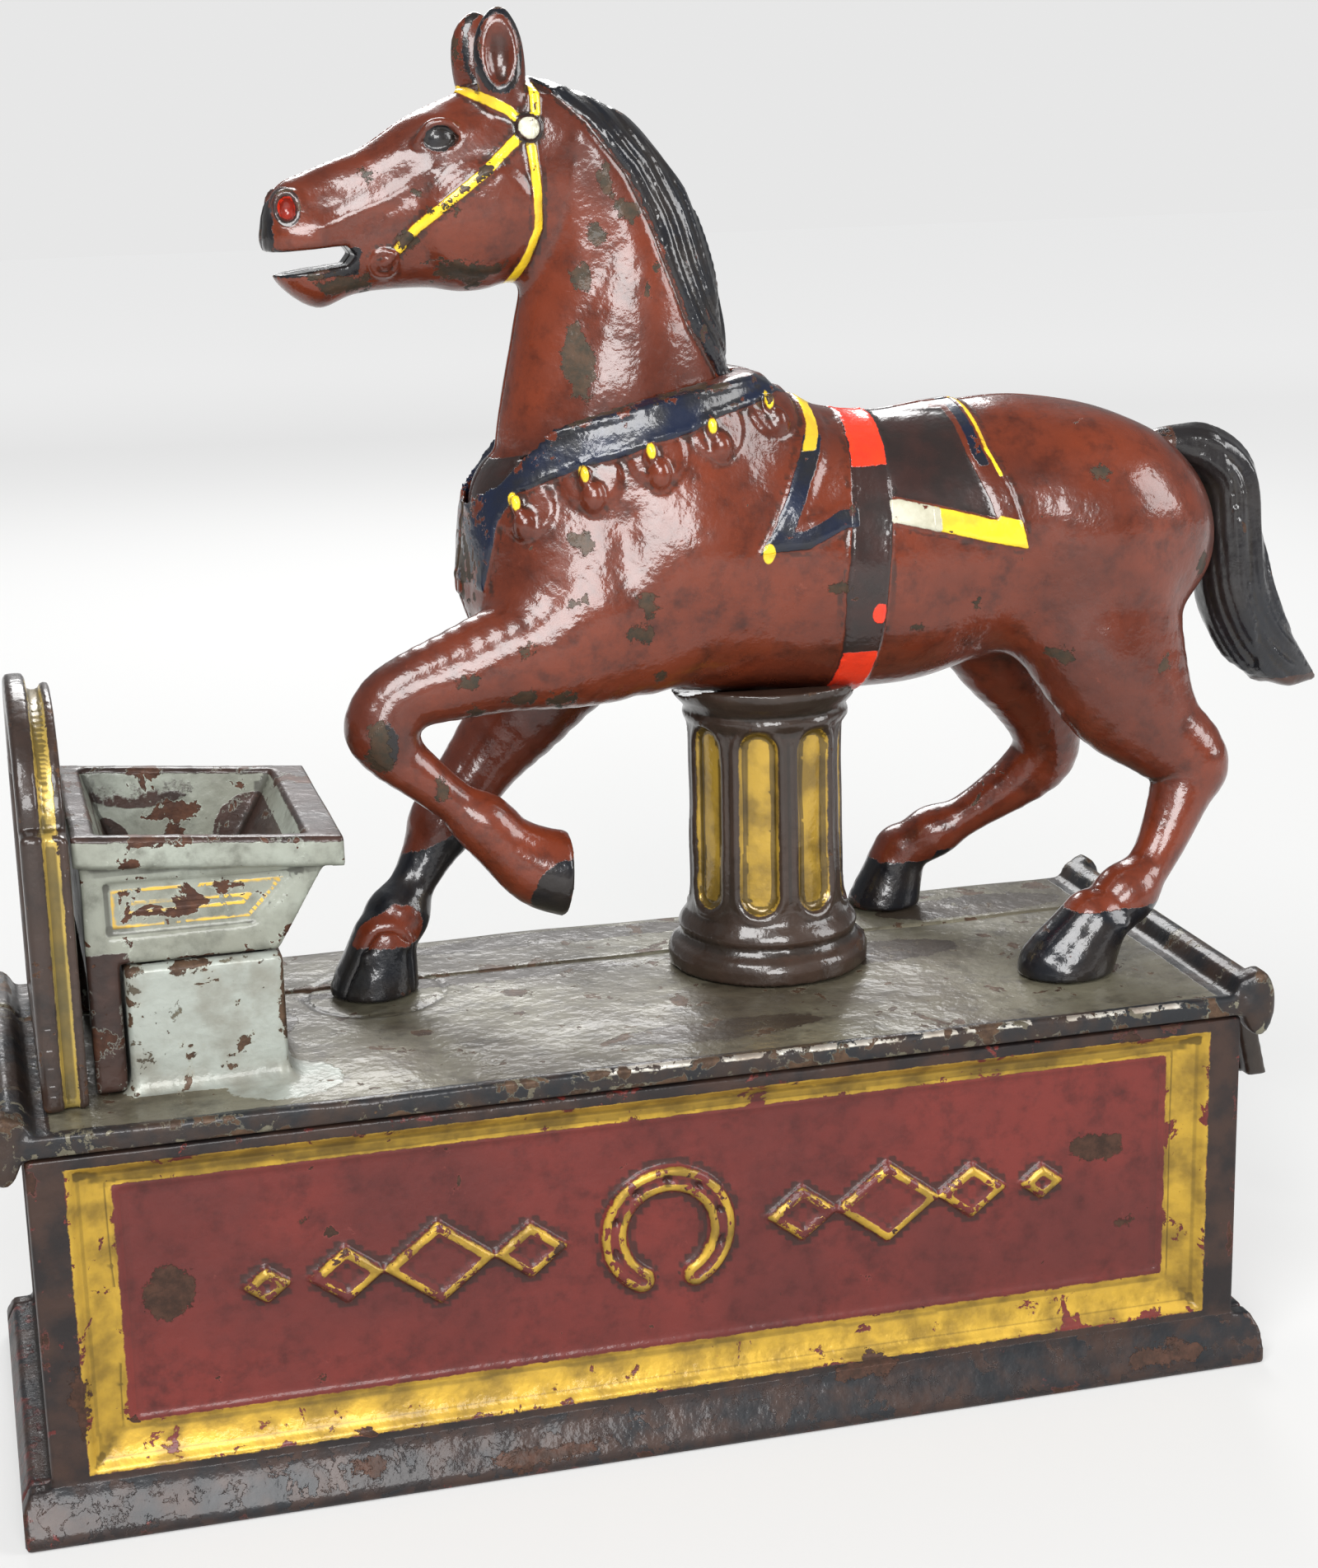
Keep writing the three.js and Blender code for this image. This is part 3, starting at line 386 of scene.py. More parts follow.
def cast(clay, name, body, nodes, material, zones=None, keep=None):
    """Turns a block of clay into a piece that rides on a CAD body and stands for its nodes."""
    value = clay.value
    if keep is not None:
        value = np.maximum(value, keep(*clay.window()[1:]).astype(np.float32))
    grid = openvdb.FloatGrid()
    grid.background = 3.0
    grid.copyFromArray(np.ascontiguousarray(np.clip(value, -3, 3), np.float32))
    points, faces = grid.convertToQuads(isovalue=0.0)
    points = clay.low + points.astype(float) * clay.step
    a, b, c, d = (points[faces[:, i]] for i in range(4))
    if np.einsum("ij,ij->i", a, np.cross(b - a, c - a) + np.cross(c - a, d - a)).sum() < 0:
        faces = faces[:, ::-1]
    made = add_mesh(name, points, faces)
    found = {"edge": clay.at(clay.edges(), points), **{zone: np.full(len(points), FAR) for zone in ZONES}}
    for zone, distance in (zones or {}).items():
        found[zone] = distance(*points.T)
    for zone, values in found.items():
        attribute = made.data.attributes.new(zone, "FLOAT", "POINT")
        attribute.data.foreach_set("value", np.asarray(values, np.float32))
    made.data.materials.append(material)
    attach(made, body)
    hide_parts(*nodes)
    return made


# ------------------------------------------------------------------ materials

class Shade:
    """A material being wired up. Sizes are in millimetres."""

    def __init__(self, name):
        self.material = bpy.data.materials.new(name)
        self.material.use_nodes = True
        self.tree = self.material.node_tree
        self.shader = self.tree.nodes["Principled BSDF"]
        self.shader.inputs["Specular IOR Level"].default_value = 0.25
        self.place = self.tree.nodes.new("ShaderNodeTexCoord").outputs["Object"]

    def link(self, socket, value):
        if isinstance(value, bpy.types.NodeSocket):
            self.tree.links.new(value, socket)
        elif isinstance(value, tuple):
            socket.default_value = (*value, 1.0)[: len(socket.default_value)]
        else:
            socket.default_value = value

    def noise(self, size, detail=3.0, rough=0.55, seed=0.0, distortion=0.0):
        node = self.tree.nodes.new("ShaderNodeTexNoise")
        node.noise_dimensions = "4D"
        self.link(node.inputs["Vector"], self.place)
        for name, value in (("W", seed), ("Scale", 1000 / size), ("Detail", detail),
                            ("Roughness", rough), ("Distortion", distortion)):
            node.inputs[name].default_value = value
        return node.outputs[0]

    def attribute(self, name):
        node = self.tree.nodes.new("ShaderNodeAttribute")
        node.attribute_name = name
        return node.outputs["Fac"]

    def math(self, kind, a, b=0.0, c=0.0):
        node = self.tree.nodes.new("ShaderNodeMath")
        node.operation = kind
        for socket, value in zip(node.inputs, (a, b, c)):
            self.link(socket, value)
        return node.outputs[0]

    def rise(self, value, low, high):
        """0 below low and 1 above high."""
        node = self.tree.nodes.new("ShaderNodeMapRange")
        node.interpolation_type = "SMOOTHSTEP"
        for name, v in (("Value", value), ("From Min", low), ("From Max", high)):
            self.link(node.inputs[name], v)
        return node.outputs[0]

    def mix(self, factor, a, b):
        node = self.tree.nodes.new("ShaderNodeMix")
        node.data_type = "RGBA"
        for i, value in ((0, factor), (6, a), (7, b)):
            self.link(node.inputs[i], value)
        return node.outputs[2]

    def blend(self, factor, a, b):
        """A number between a and b."""
        return self.math("MULTIPLY_ADD", factor, self.math("SUBTRACT", b, a), a)

    def finish(self, colour, roughness, relief, coat=0.0, metallic=0.0):
        bump_node = self.tree.nodes.new("ShaderNodeBump")
        bump_node.inputs["Distance"].default_value = MM
        self.link(bump_node.inputs["Height"], relief)
        for name, value in (("Base Color", colour), ("Roughness", roughness), ("Coat Weight", coat),
                            ("Coat Roughness", 0.1), ("Metallic", metallic),
                            ("Normal", bump_node.outputs[0]), ("Coat Normal", bump_node.outputs[0])):
            self.link(self.shader.inputs[name], value)
        return self.material


def enamel(name, ground, coats, iron, chip_from=0.66, gloss=0.26, coat=0.6, speck=0.74, rough_cast=1.0,
           metallic=0.0, seed=0.0):
    """Old gloss paint over cast iron. ground and iron are pairs of colours. Each of coats is
    (zone, colour, second colour, raggedness in mm, how much has worn off from 0 to 1, metallic)."""
    s = Shade(name)
    edge = s.attribute("edge")
    patches = s.rise(s.noise(22, 4, seed=seed), 0.35, 0.68)
    colour = s.mix(patches, ground[0], ground[1])
    colour = s.mix(s.rise(s.noise(3.5, 5, 0.65, seed + 1), 0.42, 0.8), colour,
                   tuple(c * 0.55 for c in ground[1]))
    metal = metallic
    relief = s.math("MULTIPLY", s.noise(1.4, 3, 0.6, seed + 2), 0.075 * rough_cast)
    relief = s.math("MULTIPLY_ADD", s.noise(5.5, 3, 0.5, seed + 3), 0.30 * rough_cast, relief)
    relief = s.math("MULTIPLY_ADD", s.noise(0.6, 2, 0.6, seed + 4), 0.02 * rough_cast, relief)
    for i, (zone, light, deep, ragged, worn, shine) in enumerate(coats):
        wander = s.math("SUBTRACT", s.noise(1.7, 5, 0.7, seed + 10 + i), 0.5)
        wander = s.math("MULTIPLY", wander, 2 * ragged)
        inside = s.rise(s.math("ADD", s.attribute(zone), wander), 0.09, -0.09)
        lost = s.rise(s.math("MULTIPLY_ADD", edge, 0.06, s.noise(4.2, 7, 0.66, seed + 20 + i, 0.4)),
                      0.80 - 0.42 * worn, 0.82 - 0.42 * worn)
        inside = s.math("MULTIPLY", inside, s.math("SUBTRACT", 1.0, lost))
        layer = s.mix(s.rise(s.noise(6, 4, seed=seed + 30 + i), 0.38, 0.66), light, deep)
        colour = s.mix(inside, colour, layer)
        metal = s.blend(inside, metal, shine)
        relief = s.math("MULTIPLY_ADD", inside, 0.04, relief)
    # Painted shade: corners and creases are darkened towards near-black.
    crevice_shade = s.rise(edge, -0.12, -0.7)
    colour = s.mix(s.math("MULTIPLY", crevice_shade, 0.7), colour, (0.012, 0.009, 0.007))
    weak = s.math("MULTIPLY_ADD", edge, 0.07, s.noise(6.5, 7, 0.62, seed + 5, 0.5))
    chips = s.rise(weak, chip_from, chip_from + 0.008)
    rim = s.math("MULTIPLY", s.rise(weak, chip_from - 0.02, chip_from), 0.3)
    specks = s.rise(s.noise(1.5, 4, 0.6, seed + 6), speck, speck + 0.02)
    wander = s.math("MULTIPLY", s.math("SUBTRACT", s.noise(3.4, 7, 0.75, seed + 9), 0.47), 9)
    worn = s.rise(s.math("ADD", s.attribute("worn"), wander), 0.06, -0.06)
    chips = s.math("MAXIMUM", chips, s.math("MAXIMUM", specks, worn))
    bare = s.mix(s.rise(s.noise(1.8, 5, 0.7, seed + 7), 0.35, 0.65), iron[0], iron[1])
    colour = s.mix(rim, colour, tuple(min(1, c * 1.6 + 0.02) for c in ground[0]))
    colour = s.mix(chips, colour, bare)
    relief = s.math("MULTIPLY_ADD", chips, -0.09, relief)
    smears = s.rise(s.noise(9, 5, 0.6, seed + 8), 0.35, 0.75)
    roughness = s.blend(chips, s.blend(smears, gloss, gloss + 0.16), 0.55)
    shell = s.math("MULTIPLY", s.math("SUBTRACT", 1.0, s.math("MULTIPLY", chips, 0.75)), coat)
    return s.finish(colour, roughness, relief, shell, s.blend(chips, metal, 0.35))


def bare_metal(name, light, deep, rust, rusted=0.6, roughness=0.42, metallic=0.85, seed=0.0):
    """Iron or steel with tarnish and some rust, for the working parts."""
    s = Shade(name)
    colour = s.mix(s.rise(s.noise(8, 5, seed=seed), 0.35, 0.7), light, deep)
    spots = s.rise(s.noise(3, 6, 0.65, seed + 1, 0.3), rusted, rusted + 0.1)
    colour = s.mix(spots, colour, rust)
    rough = s.blend(spots, s.blend(s.noise(5, 4, seed=seed + 2), roughness - 0.12, roughness + 0.15), 0.8)
    relief = s.math("MULTIPLY_ADD", s.noise(0.8, 4, 0.6, seed + 3), 0.06, s.math("MULTIPLY", spots, 0.03))
    return s.finish(colour, rough, relief, 0.0, s.blend(spots, metallic, 0.1))


IRON = ((0.030, 0.025, 0.017), (0.060, 0.034, 0.020))
NAVY = ((0.006, 0.010, 0.026), (0.012, 0.012, 0.014))
YELLOW = ((0.76, 0.52, 0.016), (0.50, 0.32, 0.02))
GOLD = ((0.43, 0.27, 0.035), (0.20, 0.125, 0.022))
BLACK = ((0.006, 0.007, 0.010), (0.014, 0.011, 0.010))

horse_paint = enamel(
    "horse_paint", ((0.122, 0.022, 0.008), (0.066, 0.014, 0.007)),
    # dark: near-black paint on the girth strap and the blanket, and at the neck's root it is painted shade
    # for the gap at the collar.
    [("dark", (0.018, 0.012, 0.011), (0.030, 0.014, 0.012), 0.25, 0.25, 0.1),
     ("navy", *NAVY, 0.35, 0.45, 0.1),
     ("orange", (0.70, 0.036, 0.010), (0.52, 0.026, 0.010), 0.4, 0.25, 0.0),
     ("yellow", *YELLOW, 0.22, 0.3, 0.0),
     # pale: the rosette's own pale paint; on the blanket's lower border, a pale cream that is partly a
     # painted highlight for its gloss.
     ("pale", (0.46, 0.45, 0.36), (0.30, 0.28, 0.20), 0.3, 0.4, 0.0),
     ("black", *BLACK, 0.9, 0.12, 0.15)],
    IRON, chip_from=0.675)
hair_paint = enamel(
    "hair_paint", BLACK, [("dark", (0.05, 0.02, 0.012), (0.03, 0.014, 0.01), 0.5, 0.4, 0.1)],
    ((0.03, 0.016, 0.010), (0.06, 0.032, 0.02)), chip_from=0.69, gloss=0.26, seed=3)
panel_paint = enamel(
    "panel_paint", ((0.118, 0.017, 0.013), (0.075, 0.013, 0.011)),
    [("dark", (0.012, 0.009, 0.009), (0.034, 0.018, 0.013), 0.35, 0.3, 0.1),
     ("gold", *GOLD, 0.4, 0.5, 0.55),
     ("black", (0.009, 0.010, 0.012), (0.034, 0.018, 0.013), 0.4, 0.65, 0.1)],
    ((0.030, 0.016, 0.011), (0.060, 0.028, 0.018)), chip_from=0.675, gloss=0.42, coat=0.2, seed=5)
deck_paint = enamel(
    "deck_paint", ((0.135, 0.125, 0.088), (0.060, 0.048, 0.032)),
    [("dark", (0.045, 0.034, 0.024), (0.030, 0.022, 0.016), 2.5, 0.4, 0.2),
     ("pale", (0.27, 0.29, 0.26), (0.19, 0.19, 0.16), 0.9, 0.4, 0.2),
     ("black", (0.010, 0.011, 0.013), (0.030, 0.018, 0.013), 0.5, 0.45, 0.1),
     ("gold", (0.50, 0.48, 0.43), (0.26, 0.22, 0.18), 0.35, 0.6, 0.7)],
    ((0.040, 0.024, 0.016), (0.085, 0.050, 0.030)), chip_from=0.605, gloss=0.40, coat=0.25, speck=0.68,
    rough_cast=1.3, metallic=0.2, seed=8)
manger_paint = enamel(
    "manger_paint", ((0.255, 0.275, 0.235), (0.165, 0.168, 0.135)),
    [("dark", (0.040, 0.020, 0.015), (0.020, 0.012, 0.010), 0.5, 0.25, 0.1),
     ("yellow", (0.58, 0.37, 0.05), (0.42, 0.27, 0.05), 0.2, 0.5, 0.1)],
    ((0.040, 0.018, 0.012), (0.075, 0.032, 0.018)), chip_from=0.605, gloss=0.40, coat=0.3, speck=0.68,
    rough_cast=1.2, seed=11)
board_paint = enamel(
    "board_paint", ((0.036, 0.020, 0.014), (0.020, 0.014, 0.012)),
    [("gold", (0.44, 0.31, 0.07), (0.26, 0.20, 0.06), 0.35, 0.4, 0.4),
     ("pale", (0.110, 0.125, 0.090), (0.060, 0.060, 0.040), 0.5, 0.35, 0.1)],
    ((0.050, 0.026, 0.016), (0.080, 0.040, 0.022)), chip_from=0.66, gloss=0.34, coat=0.45, seed=14)
column_paint = enamel(
    "column_paint", ((0.020, 0.014, 0.011), (0.034, 0.020, 0.014)),
    [("gold", *GOLD, 0.3, 0.2, 0.5)],
    ((0.030, 0.018, 0.012), (0.065, 0.034, 0.02)), chip_from=0.68, gloss=0.28, coat=0.6, seed=17)
lever_paint = enamel(
    "lever_paint", ((0.026, 0.018, 0.013), (0.016, 0.012, 0.010)), [],
    ((0.045, 0.030, 0.020), (0.085, 0.05, 0.03)), chip_from=0.64, gloss=0.36, coat=0.4, seed=27)
iron = bare_metal("bare_iron", (0.11, 0.10, 0.09), (0.05, 0.04, 0.034), (0.13, 0.045, 0.018), seed=20)
steel = bare_metal("steel_wire", (0.42, 0.41, 0.39), (0.22, 0.20, 0.18), (0.16, 0.06, 0.025),
                   rusted=0.68, roughness=0.32, metallic=1.0, seed=23)


# ------------------------------------------------------------------ base box

def inset(x, z):
    """0 at the cove frame's outer edge and 1 at the field's edge, for a place of the long panel."""
    return np.minimum(
        (FRAME[0] - np.abs(x)) / (FRAME[0] - FIELD[0]),
        np.minimum((z - FRAME[1]) / (FIELD[1] - FRAME[1]), (FRAME[2] - z) / (FRAME[2] - FIELD[2])))


PANEL_WEAR = ((-70, 33, 3.5, 4.5), (66, 37, 4.2, 2.6), (70, 24, 2, 1.2), (-52, 41, 1, 0.8),
              (-45, 4.5, 2.2, 1.8), (30, 8, 5, 1.4), (-20, 3, 8, 1.4), (76, 3.5, 6, 1.6),
              (-83, 20, 1.2, 6))
SHOE = {"z": 32.6, "r": 8.0, "half": 2.1, "gap": 0.52}
LOZENGES = ((20, 4.5), (33, 6.5), (46, 4.5), (57, 3.0))


def shoe_distance(x, z):
    """A horseshoe, open below."""
    w = z - SHOE["z"]
    turn = np.arctan2(np.abs(x), w)
    tip = np.pi - SHOE["gap"]
    end = np.hypot(np.abs(x) - SHOE["r"] * np.sin(tip), w - SHOE["r"] * np.cos(tip))
    return np.where(turn < tip, np.abs(np.hypot(x, w) - SHOE["r"]), end) - SHOE["half"]


def ornament_distance(x, z):
    best = shoe_distance(x, z)
    for place, half in LOZENGES:
        u, w = np.abs(np.abs(x) - place) / 1.3, np.abs(z - SHOE["z"])
        best = np.minimum(best, (u + w - half) * 0.8)
    return best


def ornament_height(x, z):
    d = ornament_distance(x, z)
    height = 1.15 * ramp(-d, -0.15, 0.75) - 0.45 * ramp(-d, 1.5, 2.0)
    for i in range(-3, 4):
        turn = i * 0.62
        height = height - 0.7 * bump(x, z, (SHOE["r"] * np.sin(turn), SHOE["z"] + SHOE["r"] * np.cos(turn)),
                                     (0.55, 0.55))
    return height


def cove_depth(t):
    """The moulding's depth across its width: a step, a hollow, a thin bead, then the flat field."""
    hollow = FIELD_DEPTH * np.sin(np.clip(t, 0, 1) * np.pi / 2) ** 0.8
    bead = 0.45 * bump(t, 0, (0.93, 0), (0.06, 1)) + 0.3 * bump(t, 0, (0.07, 0), (0.06, 1))
    return np.where(t > 0, hollow - bead, 0)


def skirt_distance(x, y, z):
    """The plinth's sloping outside, all round."""
    out = np.maximum(np.abs(x) - PLINTH[0], np.abs(y) - PLINTH[1])
    fall = (PLINTH[1] - WALL[1]) / (PLINTH[2] - PLINTH_LIP)
    off_walls = np.maximum(np.abs(x) - WALL[0] - END_LEDGE, np.abs(y) - WALL[1])
    slope = (off_walls - (PLINTH[2] - z) * fall) / np.hypot(1, fall)
    return np.maximum(np.maximum(out, slope), z - PLINTH[2])


def long_panel(side):
    """The front or rear casting: plinth, wall, cove frame and sunk field."""
    inner = WALL[1] - FIELD_DEPTH - WALL_THICK
    ys = (-PLINTH[1], -inner) if side < 0 else (inner, PLINTH[1])
    clay = Clay((-PLINTH[0], ys[0], 0), (PLINTH[0], ys[1], WALL[2]))
    _, x, y, z = clay.window()
    out = side * y
    depth = cove_depth(inset(x, z))
    if side < 0:
        depth = depth - ornament_height(x, z) * (inset(x, z) > 1)
    front = out - (WALL[1] - depth) - 0.06 * uneven(x, 0, z, 23, 3)
    behind = inset(x, z) > -0.6
    back = np.where(behind, inner, WALL[1] - WALL_THICK) - out
    wall = rounded([np.maximum(front, back), np.abs(x) - WALL[0], z - WALL[2]], 0.5)
    skirt = np.maximum(skirt_distance(x, y, z), WALL[1] - WALL_THICK - out)
    clay.value[:] = np.maximum(smooth_min(wall, skirt, 0.8), np.maximum(-z, back))
    zones = {
        "dark": lambda x, y, z: np.maximum(inset(x, z) * 5.0, -(side * y - inner - 1.2)),
        "gold": lambda x, y, z: gold_lines(x, z, side),
        "black": lambda x, y, z: z - PLINTH[2] - 0.4,
        "worn": lambda x, y, z: np.where(side < 0, spots_distance(PANEL_WEAR, x, z), FAR),
    }
    name = "front" if side < 0 else "rear"
    cast(clay, f"{name}_panel_cast", "base", [f"{name}_panel"], panel_paint, zones)


def gold_lines(x, z, side):
    """Gilding: the cove, and on the front the ornament's rims."""
    t = inset(x, z)
    cove = np.maximum(-t, t - 0.88) * 5.0
    if side > 0:
        return cove
    rims = np.abs(ornament_distance(x, z) + 0.9) - 0.55
    return np.minimum(cove, np.where(t > 1, rims, FAR))


def end_wall(side):
    """A short wall between the long ones, with a shallow sunk panel."""
    half = WALL[1] - WALL_THICK - GAP
    face = WALL[0] - 0.4
    xs = (-PLINTH[0], -WALL[0] + WALL_THICK) if side < 0 else (WALL[0] - WALL_THICK, PLINTH[0])
    clay = Clay((xs[0], -half, 0), (xs[1], half, WALL[2]))
    _, x, y, z = clay.window()
    out = side * x
    hem = lambda y, z: np.minimum(half - 4.5 - np.abs(y), np.minimum(z - 12, WALL[2] - 5 - z))
    sunk = 0.9 * ramp(hem(y, z), 0, 1.4)
    wall = rounded([out - face + sunk, np.abs(y) - half, z - WALL[2], WALL[0] - WALL_THICK - out], 0.4)
    skirt = np.maximum(skirt_distance(x, y, z), np.maximum(WALL[0] - WALL_THICK - out, np.abs(y) - half))
    clay.value[:] = np.maximum(smooth_min(wall, skirt, 0.8), -z)
    if side > 0:
        clay.cut(block((70, 100), (MID - 3.2, MID + 3.2), (30, 50), 0.6), 0.3)
    zones = {
        "dark": lambda x, y, z: np.maximum(hem(y, z), 0),
        "black": lambda x, y, z: z - PLINTH[2] - 0.4,
    }
    name = "left" if side < 0 else "right"
    cast(clay, f"{name}_end_cast", "base", [f"{name}_end_plate"], panel_paint, zones)


for side in (-1, 1):
    long_panel(side)
    end_wall(side)


# ------------------------------------------------------------------ deck

RISER = ((-72.4, -51.0), (-22.0, 15.0), 77.0)
CHUTE = ((-70.6, -53.0), (-19.5, 13.0))
HOOFS = {"near_hind": (67.0, -14.5), "far_hind": (53.0, 27.0), "far_fore": (-34.0, 10.5)}
SCREWS = ((-28, -14), (78, -16))
STAINS = ((-20, 12, 26, 2.4), (45, 4, 12, 5), (10, -22, 16, 4), (66, 22, 16, 5), (-52, 4, 5, 8),
          (0, 28, 30, 3))


def deck_end(side):
    """The deck's turned-up end in the side view: two ribs with a hollow between."""
    past_end = [(-0.8, -3.2), (1.4, -4), (2.6, -2.8), (2.5, -1), (1.7, 0.3), (2.7, 1.3), (2.4, 2.4),
                (1.2, 2.7), (-0.4, 2.2), (-2.2, -0.4)]
    return [(side * (DECK[0] + out), DECK[3] + up) for out, up in past_end]


def deck_casting(name, span, front):
    """One of the two top castings. The near one carries the riser, the hangers and the screw bosses."""
    main = name == "near_deck"
    clay = Clay((-93, min(span[0], front[0]), 36 if main else DECK[2] - 2),
                (93, max(span[1], front[1]), RISER[2] if main else DECK[3] + 3.6))
    clay.join(block((-DECK[0], DECK[0]), span, (DECK[2], DECK[3]), 0.7))
    for side in (-1, 1):
        clay.join(side_plate(deck_end(side), (span[0] + 0.4, span[1] - 0.4 * (not main)), 0.5), 0.6)
        lug = [(side * (DECK[0] + 2.4) + 2.45 * np.cos(a), DECK[3] - 1.6 + 5 * np.sin(a))
               for a in np.linspace(0, 2 * np.pi, 24, endpoint=False)]
        clay.join(side_plate(lug, front, 1.1), 0.8)
    if main:
        clay.join(block(RISER[0], RISER[1], (DECK[3] - 1, RISER[2]), 0.9), 3.2)
        for y in (MID - 5, MID + 2.5):
            clay.join(block((LEVER[0] - 4, LEVER[0] + 4), (y, y + 2.5), (LEVER[1] - 4, DECK[2] + 1)), 0.8)
        for at in SCREWS:
            clay.join(post(at, 4.5, (46, DECK[2] + 1)), 1.0)
            clay.cut(post(at, 2.2, (40, 53)))
        clay.cut(block(CHUTE[0], CHUTE[1], (DECK[2] - 1, RISER[2] + 1), 0.5))
        clay.cut(post((COLUMN[0], MID), 7.0, (50, 60)))
        clay.cut(cross_pin(LEVER, 2.1, (0, 14)))
    for at in HOOFS.values():
        if span[0] < at[1] < span[1]:
            clay.cut(post(at, 2.0, (50, 60)))
    top = lambda z: ramp(z, DECK[3] - 1.5, DECK[3] - 0.3) * ramp(-z, -DECK[3] - 1.4, -DECK[3] - 0.4)
    ring = lambda x, y: bump(spot(x, y, HOOFS["far_fore"]), 0, (10.4, 0), (0.35, 1))
    clay.raise_by(lambda x, y, z: top(z) * (0.16 * uneven(x, y, 0, 26, 5) - 0.05 - 0.35 * ring(x, y)))
    where, x, y, z = clay.window()
    ends = (span[0] - LUG * (span[0] < 0), span[1] + LUG * (span[1] > SEAM + 1))
    clay.carve(where, -np.maximum(ends[0] - y, y - ends[1]))
    zones = {
        "pale": lambda x, y, z: np.where(
            (x < RISER[0][1] + 1) & (x > RISER[0][0] - 6) & (z > DECK[3] + 0.3), -0.6,
            2.2 - 5.0 * bump(x, y, (-52, -22), (9, 8))),
        "black": lambda x, y, z: np.minimum(
            y + DECK[1] - 1.6, np.minimum(DECK[0] - 4 - np.abs(x), DECK[3] - 1.2 - (DECK[3] - z) * 2)
            + FAR * (np.abs(x) < DECK[0] - 5)),
        "dark": lambda x, y, z: spots_distance(STAINS, x, y) + FAR * (z > DECK[3] + 0.5),
        "gold": lambda x, y, z: np.maximum(
            np.hypot(y + DECK[1] - 0.25, z - DECK[3] + 0.25) - 0.55, np.maximum(-12 - x, x - 80) * 0.2),
    }
    cast(clay, f"{name}_cast", "base", [name], deck_paint, zones)


deck_casting("near_deck", (-DECK[1], SEAM - GAP / 2), (-DECK[1] - 0.4, -DECK[1] + 4))
deck_casting("far_deck", (SEAM + GAP / 2, DECK[1]), (DECK[1] - 4, DECK[1] + 0.4))


# ------------------------------------------------------------------ end board and manger

def arch(half, shoulder, step, top, foot=DECK[3] + GAP):
    """Straight sides to a shoulder, a small step in, then a round head, in y and z."""
    r = half - step
    head = [(r * np.cos(a), shoulder + (top - shoulder) * np.sin(a)) for a in np.linspace(0, np.pi, 28)]
    return [(-half, foot), (half, foot), (half, shoulder), *head, (-half, shoulder)]


def end_board():
    clay = Clay((-84.6, -26, DECK[3] + GAP), (-78.4, 26, 113.5))
    clay.join(end_plate(arch(26, 97.5, 4, 113.5), (-84.6, -81.6), 0.8))
    clay.join(end_plate(arch(24.4, 97, 3.6, 111), (-82.4, -78.9), 0.5), 0.5)
    clay.join(end_plate(arch(25, 96.6, 4, 112), (-79.7, -78.4), 0.55), 0.5)
    inner = arch(20.5, 95.5, 3.4, 107.5, 63)
    clay.cut(end_plate(inner, (-90, -83.7), 0.4), 0.5)
    clay.cut(end_plate(inner, (-79.2, -70), 0.3), 0.4)
    zones = {
        "gold": lambda x, y, z: np.abs(x + 80.7) - 1.05,
        "pale": lambda x, y, z: np.maximum(outline_distance(inner, y, z), -(x + 79.6)),
    }
    cast(clay, "end_board_cast", "base", ["end_board"], board_paint, zones)


MANGER_Y = (-22.0, 20.0)
RIM = lambda x: 95.9 - (x + 78) * 0.09        # falls a little towards the horse
PANEL = [(-74.4, 81.2), (-54.5, 81.2), (-47.6, 88.4), (-74.4, 88.8)]
FLAP_HINGE = (-65.0, 75.0)


def manger_inside(x, y, z):
    """Signed distance to dark patches over the bowl's inside."""
    inside = np.maximum(np.abs(y + 1) - 18.2, np.abs(x + 60) - 13.6) + 2 * (z > RIM(x) - 0.4)
    patches = spots_distance([(-66, 93, 9, 4), (-50, 84, 6, 6), (-72, 83, 4, 5)], x, z)
    return np.maximum(inside, patches)


